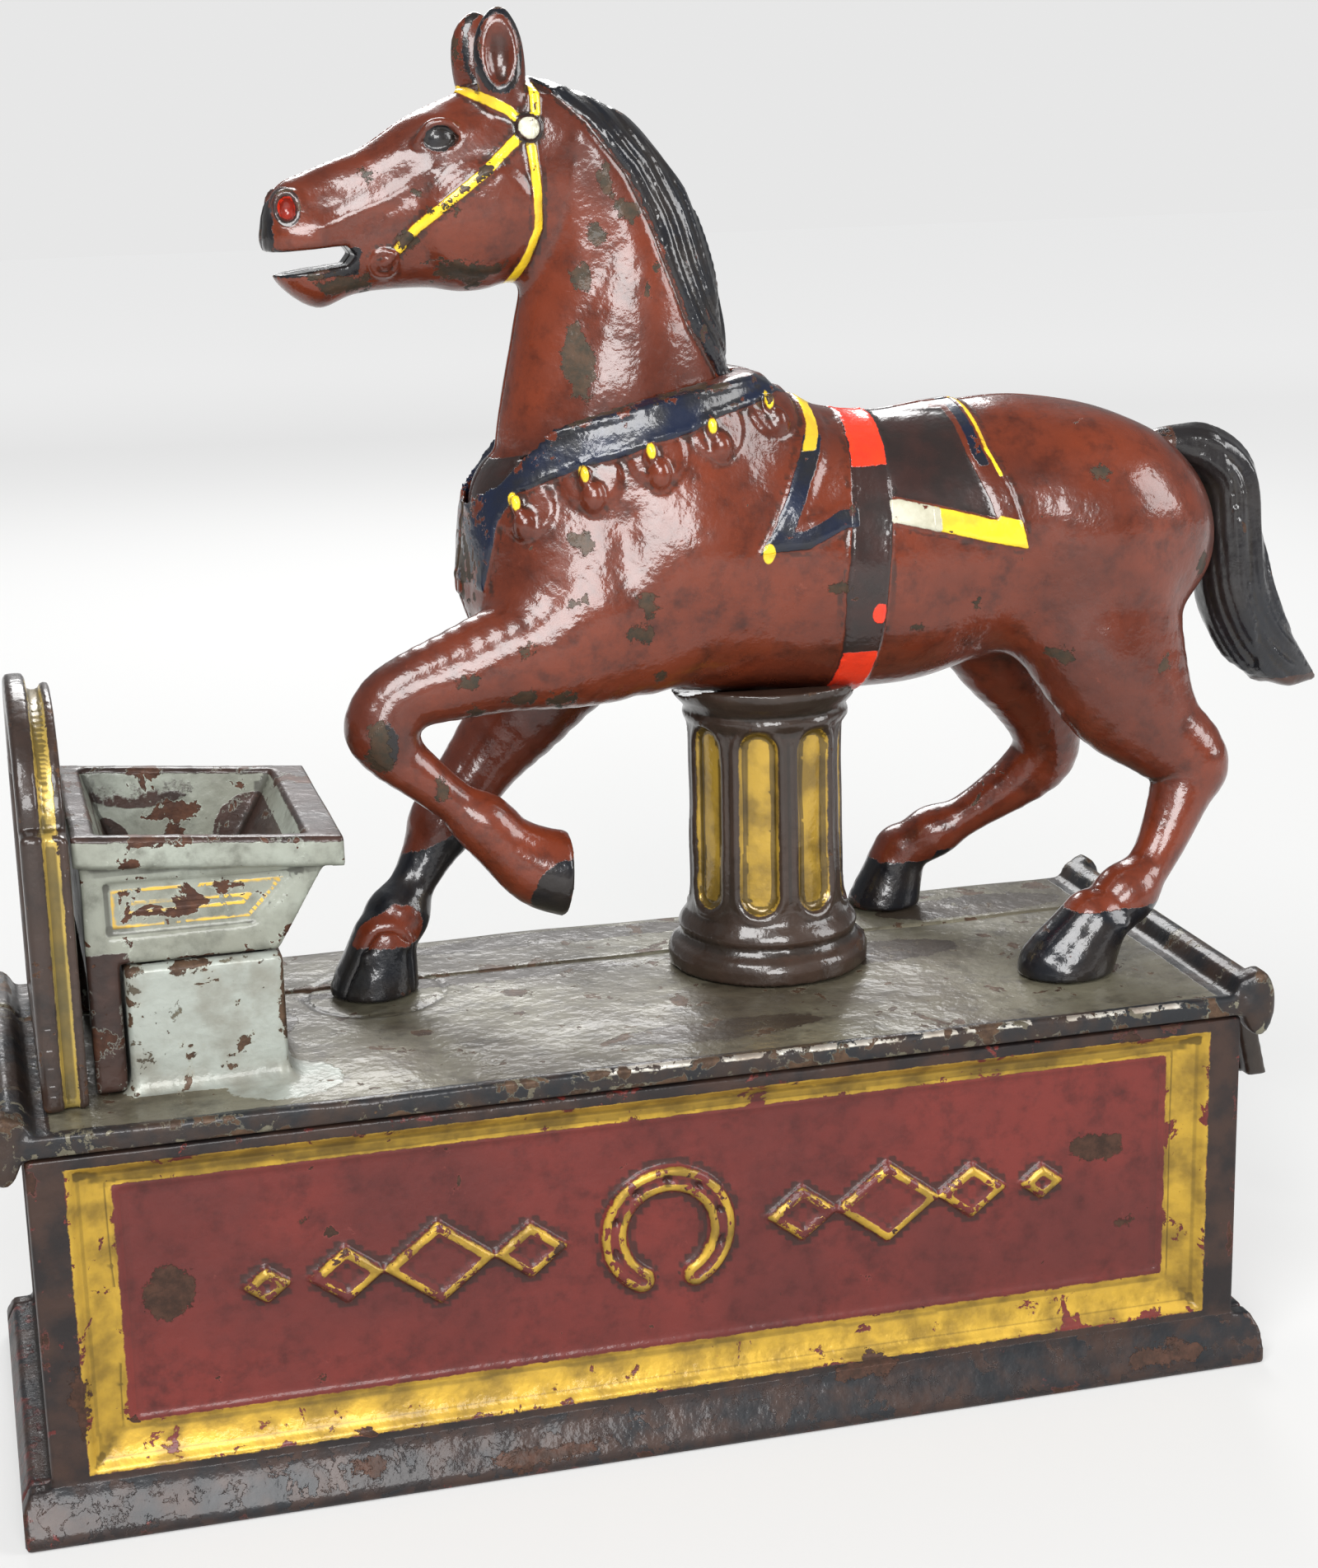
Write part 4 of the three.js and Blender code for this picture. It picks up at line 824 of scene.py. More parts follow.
def manger():
    foot, floor = DECK[3] + GAP, RISER[2] + GAP
    clay = Clay((-78, MANGER_Y[0], foot), (-41.8, MANGER_Y[1], 96))
    side = [(-77.2, foot), (-72.9, foot), (-72.9, floor), (-51.4, floor), (-44.6, RIM(-44.6) - 4.4),
            (-44.6, RIM(-44.6) - 1), (-77.2, RIM(-77.2) - 1)]
    clay.join(side_plate(side, (MANGER_Y[0] + 1.2, MANGER_Y[1] - 1.2), 0.5))
    rim = [(-78, RIM(-78) - 4.4), (-41.8, RIM(-41.8) - 4.2), (-41.8, RIM(-41.8)), (-78, RIM(-78))]
    clay.join(side_plate(rim, MANGER_Y, 0.6), 0.9)
    where, x, y, z = clay.window()
    up = np.clip((z - floor - 2) / (97 - floor - 2), 0, 1)
    low = np.array([-69.4, -54.6, MANGER_Y[0] + 4, MANGER_Y[1] - 4])
    high = np.array([-75.4, -44.4, MANGER_Y[0] + 2.2, MANGER_Y[1] - 2.2])
    x0, x1, y0, y1 = (a + (b - a) * up for a, b in zip(low, high))
    bowl = rounded([x0 - x, x - x1, y0 - y, y - y1, floor + 2 - z], 0.9)
    clay.carve(where, bowl, 0.5)
    clay.cut(block((-63.2, -56), (-17.6, 7), (floor - 1, floor + 3), 0.4), 0.3)
    clay.cut(block((-80, -70), (MANGER_Y[0] + 6, MANGER_Y[1] - 6), (50, 74), 0.6), 0.3)
    for y0, y1 in ((-19.1, -17.4), (10.1, 11.7)):
        clay.join(block((FLAP_HINGE[0] - 1.9, FLAP_HINGE[0] + 1.9), (y0, y1),
                        (FLAP_HINGE[1] - 1.6, floor + 0.5), 0.3), 0.3)
    clay.cut(cross_pin(FLAP_HINGE, 1.2, (-25, 25)))
    for span in ((MANGER_Y[0] - 0.8, MANGER_Y[0] + 1.9), (MANGER_Y[1] - 1.9, MANGER_Y[1] + 0.8)):
        clay.cut(side_plate(PANEL, span, 0.5), 0.5)
    clay.raise_by(lambda x, y, z: 0.05 * uneven(x, y, z, 14, 8))
    zones = {
        "yellow": lambda x, y, z: (
            np.abs(np.abs(outline_distance(PANEL, x, z) + 2.2) - 0.9) - 0.24
            + FAR * ((y > -13) & (np.abs(y) < 18))),
        "dark": lambda x, y, z: np.minimum.reduce([
            RIM(x) - 0.7 - z, np.maximum(z - 79, x + 71.5), manger_inside(x, y, z)]),
    }
    cast(clay, "manger_cast", "base", ["manger"], manger_paint, zones)


end_board()
manger()


# ------------------------------------------------------------------ horse's body

BACK = [(-18.8, 121.6), (-18.3, 127), (-16.8, 132), (-14, 136.5), (-8, 140), (0, 142), (10, 144),
        (20, 146), (30, 145.2), (36, 143.2), (44, 142.3), (52, 143), (62.5, 143.9), (70.5, 143.4),
        (78.6, 141.7), (86.8, 138.6), (92, 135), (95.4, 131.4), (97.8, 126.2), (98.8, 119.8)]
BELLY = [(-18.8, 120.4), (-18.3, 116.6), (-16.8, 113.2), (-14.5, 110.2), (-9, 107), (-1, 104.8),
         (9, 103.4), (19, 102.2), (30, 101.4), (40, 101), (50, 101.8), (60, 104), (70, 106.5), (78, 108),
         (85, 108.4), (91.5, 110), (96.6, 113.4), (98.8, 118.8)]
GIRTH = [(-18.8, 1), (-17.6, 7.4), (-14, 12.4), (-8, 15.6), (0, 17.3), (10, 18.3), (20, 18.6), (40, 18.4),
         (55, 18.1), (70, 18.4), (79, 17.8), (87, 15.5), (93, 12), (97, 7.4), (98.8, 1.2)]
SHOULDERS = [[123.5, -18, 33, 14], [133.7, -17.7, 31, 16], [140.1, -16.8, 28.6, 15.8],
             [144, -15.8, 26.6, 14.6], [149, -15.2, 26.2, 13.6]]
BODY_RIVETS = [(4, 110), (86, 122)]
NEAR_HIND = [[76, -1, 122, 17, 9], [76.5, -3, 112, 14, 9], [80.4, -5, 100, 10.4, 8],
             [85.2, -6.5, 93.6, 7.4, 6], [90, -7.5, 88.6, 6.2, 5], [88.4, -8.5, 83.4, 4.7, 4.2],
             [83.2, -11, 74.6, 3.5, 3.6], [77.4, -13, 69.4, 4.1, 4.2], [72.6, -14, 66.4, 4.3, 4.4]]
FAR_HIND = [[70, 15, 118, 16, 9], [71, 17, 108, 13, 9], [75, 18.6, 97, 8, 7], [78.4, 20, 88, 5.6, 5.5],
            [77.4, 21, 82.2, 5.2, 4.6], [68, 23, 75.2, 3.3, 3.5], [60.6, 25, 70.6, 3.6, 3.8],
            [56.8, 26.4, 68.4, 4, 4.1]]
NEAR_FORE = [[2, -3, 117, 13, 8], [-8, -5, 113.4, 9.4, 7.4], [-18, -6, 111.4, 7.2, 6.2],
             [-28, -6.4, 108.8, 5.4, 5.2], [-33.2, -6.6, 105.6, 5, 5], [-33, -6.8, 101, 4.5, 4.6],
             [-27.6, -7, 95.6, 3.4, 3.7], [-21.6, -7, 90.2, 3.2, 3.6], [-18.2, -7, 87, 4.1, 4.3]]
FAR_FORE = [[2, 19, 112, 12, 8], [-7, 19.4, 100, 8, 7], [-14.6, 19, 91, 5.8, 5.6],
            [-20.6, 17.6, 83, 4.9, 5], [-26.2, 15, 75, 3.4, 3.7], [-30, 12.6, 69.4, 4.3, 4.4],
            [-31.6, 11.6, 67.2, 4.3, 4.3]]
NECK = [[142, -13.2, 21, 12], [147.4, -12.4, 20.8, 11.6], [152.7, -11.2, 20.4, 11],
        [159.2, -9.8, 19.4, 10.2], [165.4, -8.5, 17.7, 9.4], [172, -8.3, 15.2, 8.8],
        [178.5, -8.8, 11.2, 8.3], [185, -9.8, 6, 7.4], [190.4, -10.6, -1.4, 5.8]]
LEAN = 0.25
KNEES_AND_HOCKS = (((-33.4, -6.6, 103.4), (4.9, 4.9, 4.6), 2), ((-21.4, 17.4, 82.6), (4.8, 4.8, 5), 2),
                   ((91.6, -7.5, 87.4), (3.4, 3.4, 3.6), 2.5), ((79.6, 21, 86.2), (3.2, 3.2, 3.6), 2.5))
FETLOCKS = (((77.8, -13, 70.4), 4.6), ((61, 25, 71.4), 4.2),
            ((-29.6, 12.8, 70.2), 4.6), ((-20.2, -7, 89.2), 4.2))
COLLAR_TOP = [(-19.6, 122), (-19, 130), (-17, 137.4), (-14.6, 141.6), (-11.7, 142.8), (-3.6, 145.2),
              (6.3, 147.6), (13.7, 148.8), (20, 149.5), (23.6, 149.8), (26.2, 148.9), (28, 147.2),
              (31.3, 145.9)]
COLLAR_LOW = [(-17.4, 121), (-16.4, 126), (-15.2, 131.2), (-12.8, 135), (-8.3, 136.9), (-3.3, 139),
              (1.5, 139.9), (6.8, 141.8), (11.6, 142.7), (16.1, 144.6), (22.1, 145.7), (27.2, 147.0)]
BELLS = [(-12.2, 132.2), (-2.9, 136), (6.5, 138.8), (15.9, 141.7), (25.7, 144.2)]
BLANKET = [(31.3, 146.5), (30.6, 142.4), (26.9, 135.8), (23.5, 129.3), (20.8, 125.4), (28.2, 125.7),
           (34.1, 128.3), (41.8, 128.4), (49.2, 126.6), (55.4, 124.9), (62, 123.4), (59.9, 131.6),
           (57.6, 137.8), (56.9, 146.5)]
GIRTH_STRAP = [(100, 33.8, 39.6), (110, 34.2, 39.9), (119, 33.8, 40.1), (133, 35.3, 41.5),
               (144, 37.6, 43.0)]
BODY_WEAR = [(-4.3, 128.4, 2.2, 1.5), (4.4, 119.7, 1.4, 1.8), (3.2, 115.2, 1.8, 1.0),
             (-6, 120.4, 1.2, 0.7), (-13.6, 114.4, 1.2, 0.8), (-21.9, 110.1, 1.5, 1),
             (-14.6, 107.1, 2.4, 1.4), (-8.4, 106.2, 2.2, 1.5), (-20.8, 105.6, 1.4, 1.1),
             (-26.3, 103.3, 1.1, 0.7), (6.8, 108.1, 0.9, 1), (32.3, 119.5, 1.5, 0.9),
             (54.4, 115.9, 1.2, 1), (45.4, 112.8, 1.2, 0.7), (67.5, 106.7, 1.8, 1.5),
             (-34.6, 101.5, 1.8, 4), (84, 104, 1.6, 1.2), (92, 118, 1.4, 2), (74, 134, 2, 1),
             (-26, 94.5, 1.2, 1.6)]


def near_half(x, y, z):
    return y - MID + GAP / 2


def far_half(x, y, z):
    return MID + GAP / 2 - y


def blanket_edge(x, z):
    """Signed distance from the blanket's sides and lower edge."""
    return outline_distance(BLANKET, x, z)


def strap_distance(x, z):
    rows = np.array(GIRTH_STRAP)
    left, right = np.interp(z, rows[:, 0], rows[:, 1]), np.interp(z, rows[:, 0], rows[:, 2])
    return np.maximum(left - x, x - right)


def collar_distance(x, z):
    return outline_distance(COLLAR_TOP + COLLAR_LOW[::-1], x, z)


def neck_room(clay):
    """The room that the neck sweeps inside the collar as the head nods."""
    rows = catmull(NECK[:4], 6)
    where, x, y, z = clay.window((-46, MID - 16, 96), (32, MID + 16, 156))
    turned_x, turned_z = x - PIVOT[0], z - PIVOT[1]
    far = np.hypot(turned_x, turned_z)
    angle = np.degrees(np.arctan2(turned_z, turned_x))
    root = oval(far - ROOT_R / 2, y - MID, ROOT_R / 2 + 0.2, 11.2)
    root = np.maximum(root, np.maximum(-21 - angle, angle - 92) * np.pi / 180 * far)
    best = np.minimum(root, oval(far, y - MID, *HUB))
    for degrees in range(0, NOD + 1, 5):
        c, s = np.cos(np.radians(degrees)), np.sin(np.radians(degrees))
        px = PIVOT[0] + turned_x * c + turned_z * s
        pz = PIVOT[1] - turned_x * s + turned_z * c
        best = np.minimum(best, leaning_distance(rows, LEAN, px, y, pz))
    return where, best - 0.5


def standing_hoof(clay, at, top, reach, lean):
    """A hoof on the deck, leaning back as it rises to its coronet."""
    x, y = at
    clay.join(chain([[x + lean, y, top, reach * 0.7, reach * 0.7],
                     [x + lean * 0.5, y, (top + 59) / 2, reach * 0.84, reach * 0.8],
                     [x, y, DECK[3] + 0.4, reach * 0.98, reach * 0.9]]), 0.8)
    clay.join(chain([[x + lean - reach * 0.5, y, top - 1.2, 1.5, reach * 0.66],
                     [x + lean + reach * 0.45, y, top + 0.2, 1.4, reach * 0.62]]), 0.8)


def horse_body():
    clay = Clay((-42, -22, 54), (100, 34, 150.4))
    clay.join(loft(BACK, BELLY, GIRTH))
    clay.join(leaning_loft(SHOULDERS, 0.2), 5)
    where, x, y, z = clay.window((-30, -22, 118), (40, 34, 160))
    top = catmull(COLLAR_TOP[3:], 4)
    above = (z - np.interp(x, *top.T) + 0.3 * np.maximum(np.abs(y - MID) - 12, 0)) * 0.9
    above = np.where((x > -22) & (x < 29), above, -FAR)
    clay.carve(where, -above, 0.8)
    inside = clay.value + 2.4
    for limb in (NEAR_HIND, FAR_HIND, NEAR_FORE, FAR_FORE):
        clay.join(chain(limb), 5)
    for at, radii, k in KNEES_AND_HOCKS:
        clay.join(ball(at, radii), k)
    for at, r in FETLOCKS:
        clay.join(ball(at, (r, r * 0.95, r * 0.9)), 2)
    standing_hoof(clay, HOOFS["near_hind"], 66.4, 7.2, 4.6)
    standing_hoof(clay, HOOFS["far_hind"], 67.6, 6.0, 2.8)
    standing_hoof(clay, HOOFS["far_fore"], 66.8, 6.8, 1.6)
    clay.join(chain([[-18.8, -7, 87.4, 3.9, 4.1], [-15.4, -7, 84, 4.7, 4.9], [-11.6, -7, 81.2, 5.8, 5.6],
                     [-6.8, -7, 79.6, 6.2, 6]]), 0.9)
    where, x, y, z = clay.window((-24, -16, 70), (4, 4, 94))
    sole = (x + 7.9) * 0.995 - (z - 80.5) * 0.1
    clay.carve(where, -sole, 0.7)
    clay.raise_by(horse_relief)
    where, x, y, z = clay.window((-30, -22, 118), (40, 34, 160))
    clay.carve(where, 0.25 - above, 0.3)
    for x, z in BELLS:
        for near in (True, False):
            y = clay.side_y(x, z, near)
            out = -0.3 if near else 0.3
            clay.join(ball((x + 0.4, y + out, z - 1.4), (1.7, 1.6, 2.4)), 0.35)
            clay.join(ball((x - 0.8, y + out, z + 1.6), (0.8, 1.0, 1.6)), 0.4)
    clay.value[:] = np.maximum(clay.value, -inside)
    clay.cut(neck_room)
    clay.cut(block((COLUMN[0] - 5, COLUMN[0] + 5), (MID - 3.4, MID + 3.4), (95, 112), 0.5))
    clay.cut(chain([[x - 0.3, y, z, a + 0.5, b + 0.5] for x, y, z, a, b in TAIL]))
    clay.cut(block((0, 24), (MID - 6.2, MID + 6.2), (112, 140), 0.5))
    for x, z in BODY_RIVETS:
        clay.join(ball((x, clay.side_y(x, z, False), z), (2.2, 1.0, 2.2)), 0.3)
    for at in HOOFS.values():
        clay.join(post(at, 1.6, (DECK[2] - 1, DECK[3] + 2)))
    where, x, y, z = clay.window()
    pegs = np.minimum.reduce([spot(x, y, at) for at in HOOFS.values()]) - 1.6
    clay.value[:] = np.maximum(clay.value, np.minimum(DECK[3] + GAP - z, np.maximum(pegs, DECK[2] - 1 - z)))
    zones = {
        "navy": lambda x, y, z: np.minimum(collar_distance(x, z), navy_border(x, z)),
        # Partly painted highlight: the front of the blanket's lower border is painted pale cream where its
        # gloss shines, over its own yellow.
        "pale": lambda x, y, z: np.maximum(lower_border(x, z), np.abs(x - 44.5) - 4),
        "yellow": body_yellow,
        "dark": lambda x, y, z: np.minimum(
            np.maximum(strap_distance(x, z), 99 - z),
            np.maximum(blanket_edge(x, z) + 3.6, 41.4 - x)),
        "orange": lambda x, y, z: np.maximum(strap_distance(x, z) + 0.15, np.minimum(
            np.minimum(136.4 - z, z - 109.4), np.hypot(x - 39, (z - 115.6) * 0.7) - 1.1)),
        "black": dark_legs,
        "worn": lambda x, y, z: np.minimum(
            spots_distance(BODY_WEAR, x, z),
            np.maximum(line_distance(COLLAR_TOP[3:8], x, z) - 1.3, -0.3 - collar_distance(x, z))),
    }
    cast(clay, "body_near_cast", "base", ["body_near_half"], horse_paint, zones, near_half)
    cast(clay, "body_far_cast", "base", ["body_far_half", "body_rivet_1", "body_rivet_2"],
         horse_paint, zones, far_half)


def lower_border(x, z):
    """The blanket's wide border along the bottom, behind the girth."""
    edge = blanket_edge(x, z)
    return np.maximum(np.maximum(edge, -3.3 - edge), np.maximum(41 - x, z - 132.4 + (x - 41.8) * 0.25))


def navy_border(x, z):
    """The blanket's border in front of the girth and at the top of the rear edge."""
    edge = blanket_edge(x, z)
    front = np.maximum(x - 36, np.maximum(z - 141, -edge - 2.6))
    rear = np.maximum(np.maximum(135.5 - z, 50 - x), np.maximum(-edge - 2.8, edge + 1.2))
    return np.maximum(edge, np.minimum(front, rear))


def body_yellow(x, y, z):
    """The blanket's hem, the touches at the bells and the drop at the blanket's front corner."""
    edge = blanket_edge(x, z)
    hem = np.maximum(lower_border(x, z), 47.5 - x)
    rear = np.maximum(np.abs(edge + 0.5) - 0.3, np.maximum(50 - x, 134 - z))
    front = np.maximum(np.abs(edge + 1.1) - 0.9, np.maximum(x - 36, 139 - z))
    touches = [(x + 0.9 - bx, (z - bz - 2) * 0.55) for bx, bz in BELLS]
    return np.minimum.reduce([hem, rear, front, np.hypot(x - 22.2, (z - 125.4) * 0.7) - 1.0,
                              *(np.hypot(*touch) - 0.6 for touch in touches)])


def dark_legs(x, y, z):
    """Hooves and lower legs that are nearly black."""
    raised = np.hypot(x + 8.4, z - 78) - 5.4 + FAR * (y > 0)
    standing = z - 67.0 - 2 * (x > 60)
    far_fore = np.maximum(z - 90 - 0.4 * x, np.maximum(x + 4, 9 - y))
    knee = np.hypot((x + 34) * 0.8, (z - 102) * 0.5) - 1.6 + FAR * (y > 8)
    return np.minimum.reduce([raised, standing, far_fore, knee])


def horse_relief(x, y, z):
    """Muscles, straps, collar and blanket, as height in the side view."""
    side = np.clip(np.abs(y - MID) / 6, 0, 1)
    swell = (
        0.9 * bump(x, z, (12, 126), (9, 12)) - 0.6 * bump(x, z, (24, 121), (3.5, 14))
        + 0.8 * bump(x, z, (-4, 118), (8, 6)) - 0.5 * bump(x, z, (1.5, 129), (2.6, 9))
        + 1.0 * bump(x, z, (80, 126), (10, 11)) - 0.7 * bump(x, z, (64, 118), (4, 12))
        + 0.6 * bump(x, z, (74, 108), (6, 7)) - 0.5 * bump(x, z, (88, 112), (3, 8))
        + 0.5 * bump(x, z, (46, 113), (12, 6)) - 0.35 * bump(x, z, (56, 108), (6, 3)))
    scallops = spots_distance([(bx + 0.3, bz + 1.4, 4.2, 4.4) for bx, bz in BELLS], x, z)
    band = collar_distance(x, z)
    collar = np.maximum(0.75 * ramp(-band, -0.3, 0.5), 0.45 * ramp(-scallops, -0.3, 0.6))
    collar = collar + 0.25 * bump(band, 0, (-0.7, 0), (0.35, 1))
    edge = blanket_edge(x, z)
    blanket = 0.55 * ramp(-edge, -0.35, 0.35) - 0.28 * ramp(-edge, 3.2, 3.8)
    strap = 0.5 * ramp(-strap_distance(x, z), -0.3, 0.3) * ramp(z, 98, 99)
    strap = strap + 0.18 * bump(strap_distance(x, z), 0, (-0.5, 0), (0.3, 1)) * ramp(z, 98, 99)
    slow = 0.16 * uneven(x, y, z, 17, 12)
    return side * swell + collar + np.maximum(blanket, strap) + slow


TAIL = [[89, MID, 134.6, 2.4, 2.6], [93, MID, 134.9, 3, 3.2], [98.4, MID, 133.6, 4, 4],
        [102.6, MID, 129, 5, 4.6], [103.4, MID, 120, 5.4, 5], [104.4, MID, 111, 6.4, 5.4],
        [108, MID, 103.6, 6, 4.8], [113, MID, 98.8, 4, 3.4], [118.4, MID, 96.2, 0.9, 0.9]]


def tail():
    clay = Clay((88, MID - 7, 94), (119.2, MID + 7, 138.6), STEP * 0.8)
    clay.join(chain(TAIL, 6))
    line = catmull(TAIL, 6)[:, [0, 2]].tolist()
    offset = lambda x, z: line_distance(line, x, z) * np.sign((x - 103) + (z - 120) * 0.2)
    locks = lambda x, y, z: (
        0.26 * np.sin(offset(x, z) * 1.5 + (y - MID) * 0.7 + 0.8 * np.sin(z * 0.24))
        + 0.09 * np.sin(offset(x, z) * 4.3 - (y - MID) * 1.4 + z * 0.21))
    clay.raise_by(lambda x, y, z: locks(x, y, z) * ramp(x, 93, 99) * ramp(-x, -117, -112) - 0.25)
    zones = {"dark": lambda x, y, z: np.minimum(x - 92.5, z - 97)}
    cast(clay, "tail_cast", "base", ["tail"], hair_paint, zones)


horse_body()
tail()


# ------------------------------------------------------------------ head and neck

CROWN = [(-44.7, 171.6), (-44.4, 174.6), (-43.2, 176.9), (-41.4, 178.6), (-39, 179.5), (-35, 181),
         (-30.3, 182.9), (-23.2, 187.1), (-17.9, 189.3), (-13, 191), (-8, 191.6), (-4, 190), (-1, 186)]
JAW = [(-44.7, 169.8), (-44.3, 167.4), (-43.2, 165.2), (-41.4, 163.2), (-39, 161.6), (-36.6, 161.2),
       (-32.6, 162.7), (-27.9, 163.3), (-22, 163.3), (-17.3, 162.6), (-12.6, 163.1), (-8, 165.4),
       (-4, 171), (-1, 182)]
CHEEKS = [(-44.7, 2.6), (-43.6, 4.3), (-41.6, 5.3), (-38.3, 5.8), (-34, 5.6), (-29, 6.4), (-23.6, 7.6),
          (-18, 8.6), (-12, 8.8), (-7, 8), (-3, 6), (-1, 3)]
BROW = [(-18, 191.4), (-14.6, 189.3), (-10.6, 187.2), (-8.2, 184.9)]
POLL = [(-6.9, 192), (-6.9, 189.5), (-7, 187), (-8.2, 184.9)]
CHEEK_STRAP = [(-8.2, 184.9), (-14.7, 179.3), (-20.6, 174.9), (-24.2, 172), (-28.7, 167.1)]
THROAT = [(-8.2, 184.9), (-7.4, 176.8), (-7.2, 171.3), (-8.8, 166.8), (-12, 161)]
HEAD_WEAR = [(-2.8, 153, 2.3, 5), (-1, 164.6, 1.5, 2.6), (0.8, 170, 1.2, 1.4), (5.7, 173.4, 1.7, 1.4),
             (2.6, 178, 0.9, 2.4), (-17.4, 165.7, 5, 1.5), (-20.9, 174, 2, 1), (-25.4, 170.2, 1.6, 1.5),
             (-34.5, 164.4, 4.2, 1.4), (-30, 179.4, 1.5, 0.8), (-24, 177, 0.9, 0.6)]
ROSETTE, BIT = (-8.2, 184.9), (-28.7, 167.1)
EYE = (-20.4, 183.8)
LIDS = (((-3.2, -0.3, -0.6, 0.5, 0.6), (-1.2, 0.3, 1.9, 0.6, 0.7), (1.4, 0.3, 2, 0.6, 0.7),
         (3.4, -0.2, 0.2, 0.5, 0.6)),
        ((-3, -0.4, -0.8, 0.45, 0.6), (-0.2, 0.1, -2, 0.5, 0.6), (3, -0.3, -0.6, 0.45, 0.6)))
NOSTRIL = (-41.6, 175.2)
MOUTH = [(-60, 165.4), (-42, 166.1), (-33.6, 167.1), (-32.5, 168.4), (-33.6, 169.8), (-42, 169.2),
         (-60, 169)]
MANE_LOW = [(-8, 194), (-6.2, 191.3), (0.4, 185.6), (5.8, 178.4), (9, 171.3), (11.4, 164.3),
            (14.2, 157.1), (18.2, 150.6), (21, 144)]
MANE_OUT = [(24, 146), (24, 160), (20, 178), (10, 190), (-4, 196)]
CRANK_PIN = (6.5, 125.24)


def bridle_distance(x, z):
    return np.minimum.reduce([line_distance(line, x, z) for line in (BROW, POLL, CHEEK_STRAP, THROAT)])


def mane_distance(x, z):
    return outline_distance(MANE_LOW + MANE_OUT, x, z)


def head_relief(x, y, z):
    side = np.clip((np.abs(y - MID) - 1.5) / 4, 0, 1)
    jowl = np.hypot((x + 15.2) / 8.6, (z - 172.6) / 8.4)
    swell = (
        0.75 * ramp(-jowl, -1.05, -0.78) - 0.45 * bump(x, z, (-25.5, 177.6), (3.2, 2.6))
        - 0.55 * bump(x, z, (-16.2, 187.4), (2.4, 1.7)) + 0.55 * bump(x, z, (-20.5, 186.9), (3.4, 1.3))
        + 0.35 * bump(line_distance([(-37, 172.5), (-28, 176), (-22, 179.6)], x, z), 0, (0, 0), (1.0, 1))
        - 0.35 * bump(x, z, (-37.6, 175.2), (2.6, 1.6)) + 0.4 * bump(x, z, (-42, 171.6), (2.2, 1.8))
        + 0.35 * bump(x, z, (-39, 163.6), (2.6, 1.6)) - 0.4 * bump(x, z, (-33.4, 165.4), (2.4, 1.2))
        - 0.4 * bump(line_distance([(-1, 180), (2, 168), (-2, 156), (-6, 146)], x, z), 0, (0, 0), (2.4, 1))
        + 0.45 * bump(x, z, (8, 160), (5, 14)))
    straps = 0.42 * ramp(-(bridle_distance(x, z) - 0.62), -0.25, 0.25)
    discs = 0.6 * ramp(-(spot(x, z, BIT) - 2.1), -0.2, 0.25)
    discs = discs - 0.28 * bump(spot(x, z, BIT), 0, (1.35, 0), (0.3, 1))
    discs = discs + 0.7 * ramp(-(spot(x, z, ROSETTE) - 1.7), -0.2, 0.3)
    mane = mane_distance(x, z)
    hair = 0.5 * ramp(-mane, -0.2, 0.5) - 0.25 * bump(mane, 0, (0.5, 0), (0.4, 1))
    strands = 0.15 * np.sin(mane * 3.4 + 0.7 * np.sin(z * 0.3)) + 0.07 * np.sin(mane * 7.7 + z * 0.5)
    hair = hair + strands * ramp(-mane, 0.3, 0.8)
    slow = 0.1 * uneven(x, y, z, 12, 21)
    return side * (swell + straps + discs) + (1 - side) * straps * (z > 186) + hair + slow


def ear(clay, y, lean, tip, out):
    clay.join(chain([[-10.9 + lean, y, 188.6, 3.0, 2.6], [-11.2 + lean, y, 192.6, 3.5, 2.6],
                     [-11.4 + lean, y, 196.2, 3.3, 2.2], [-11.3 + lean, y, tip - 2, 2.0, 1.4],
                     [-11.1 + lean, y, tip - 0.7, 0.7, 0.6]]), 0.8)
    clay.cut(ball((-11.7 + lean, y + out * 2.5, 195.2), (2.1, 1.7, 4.3)), 0.7)


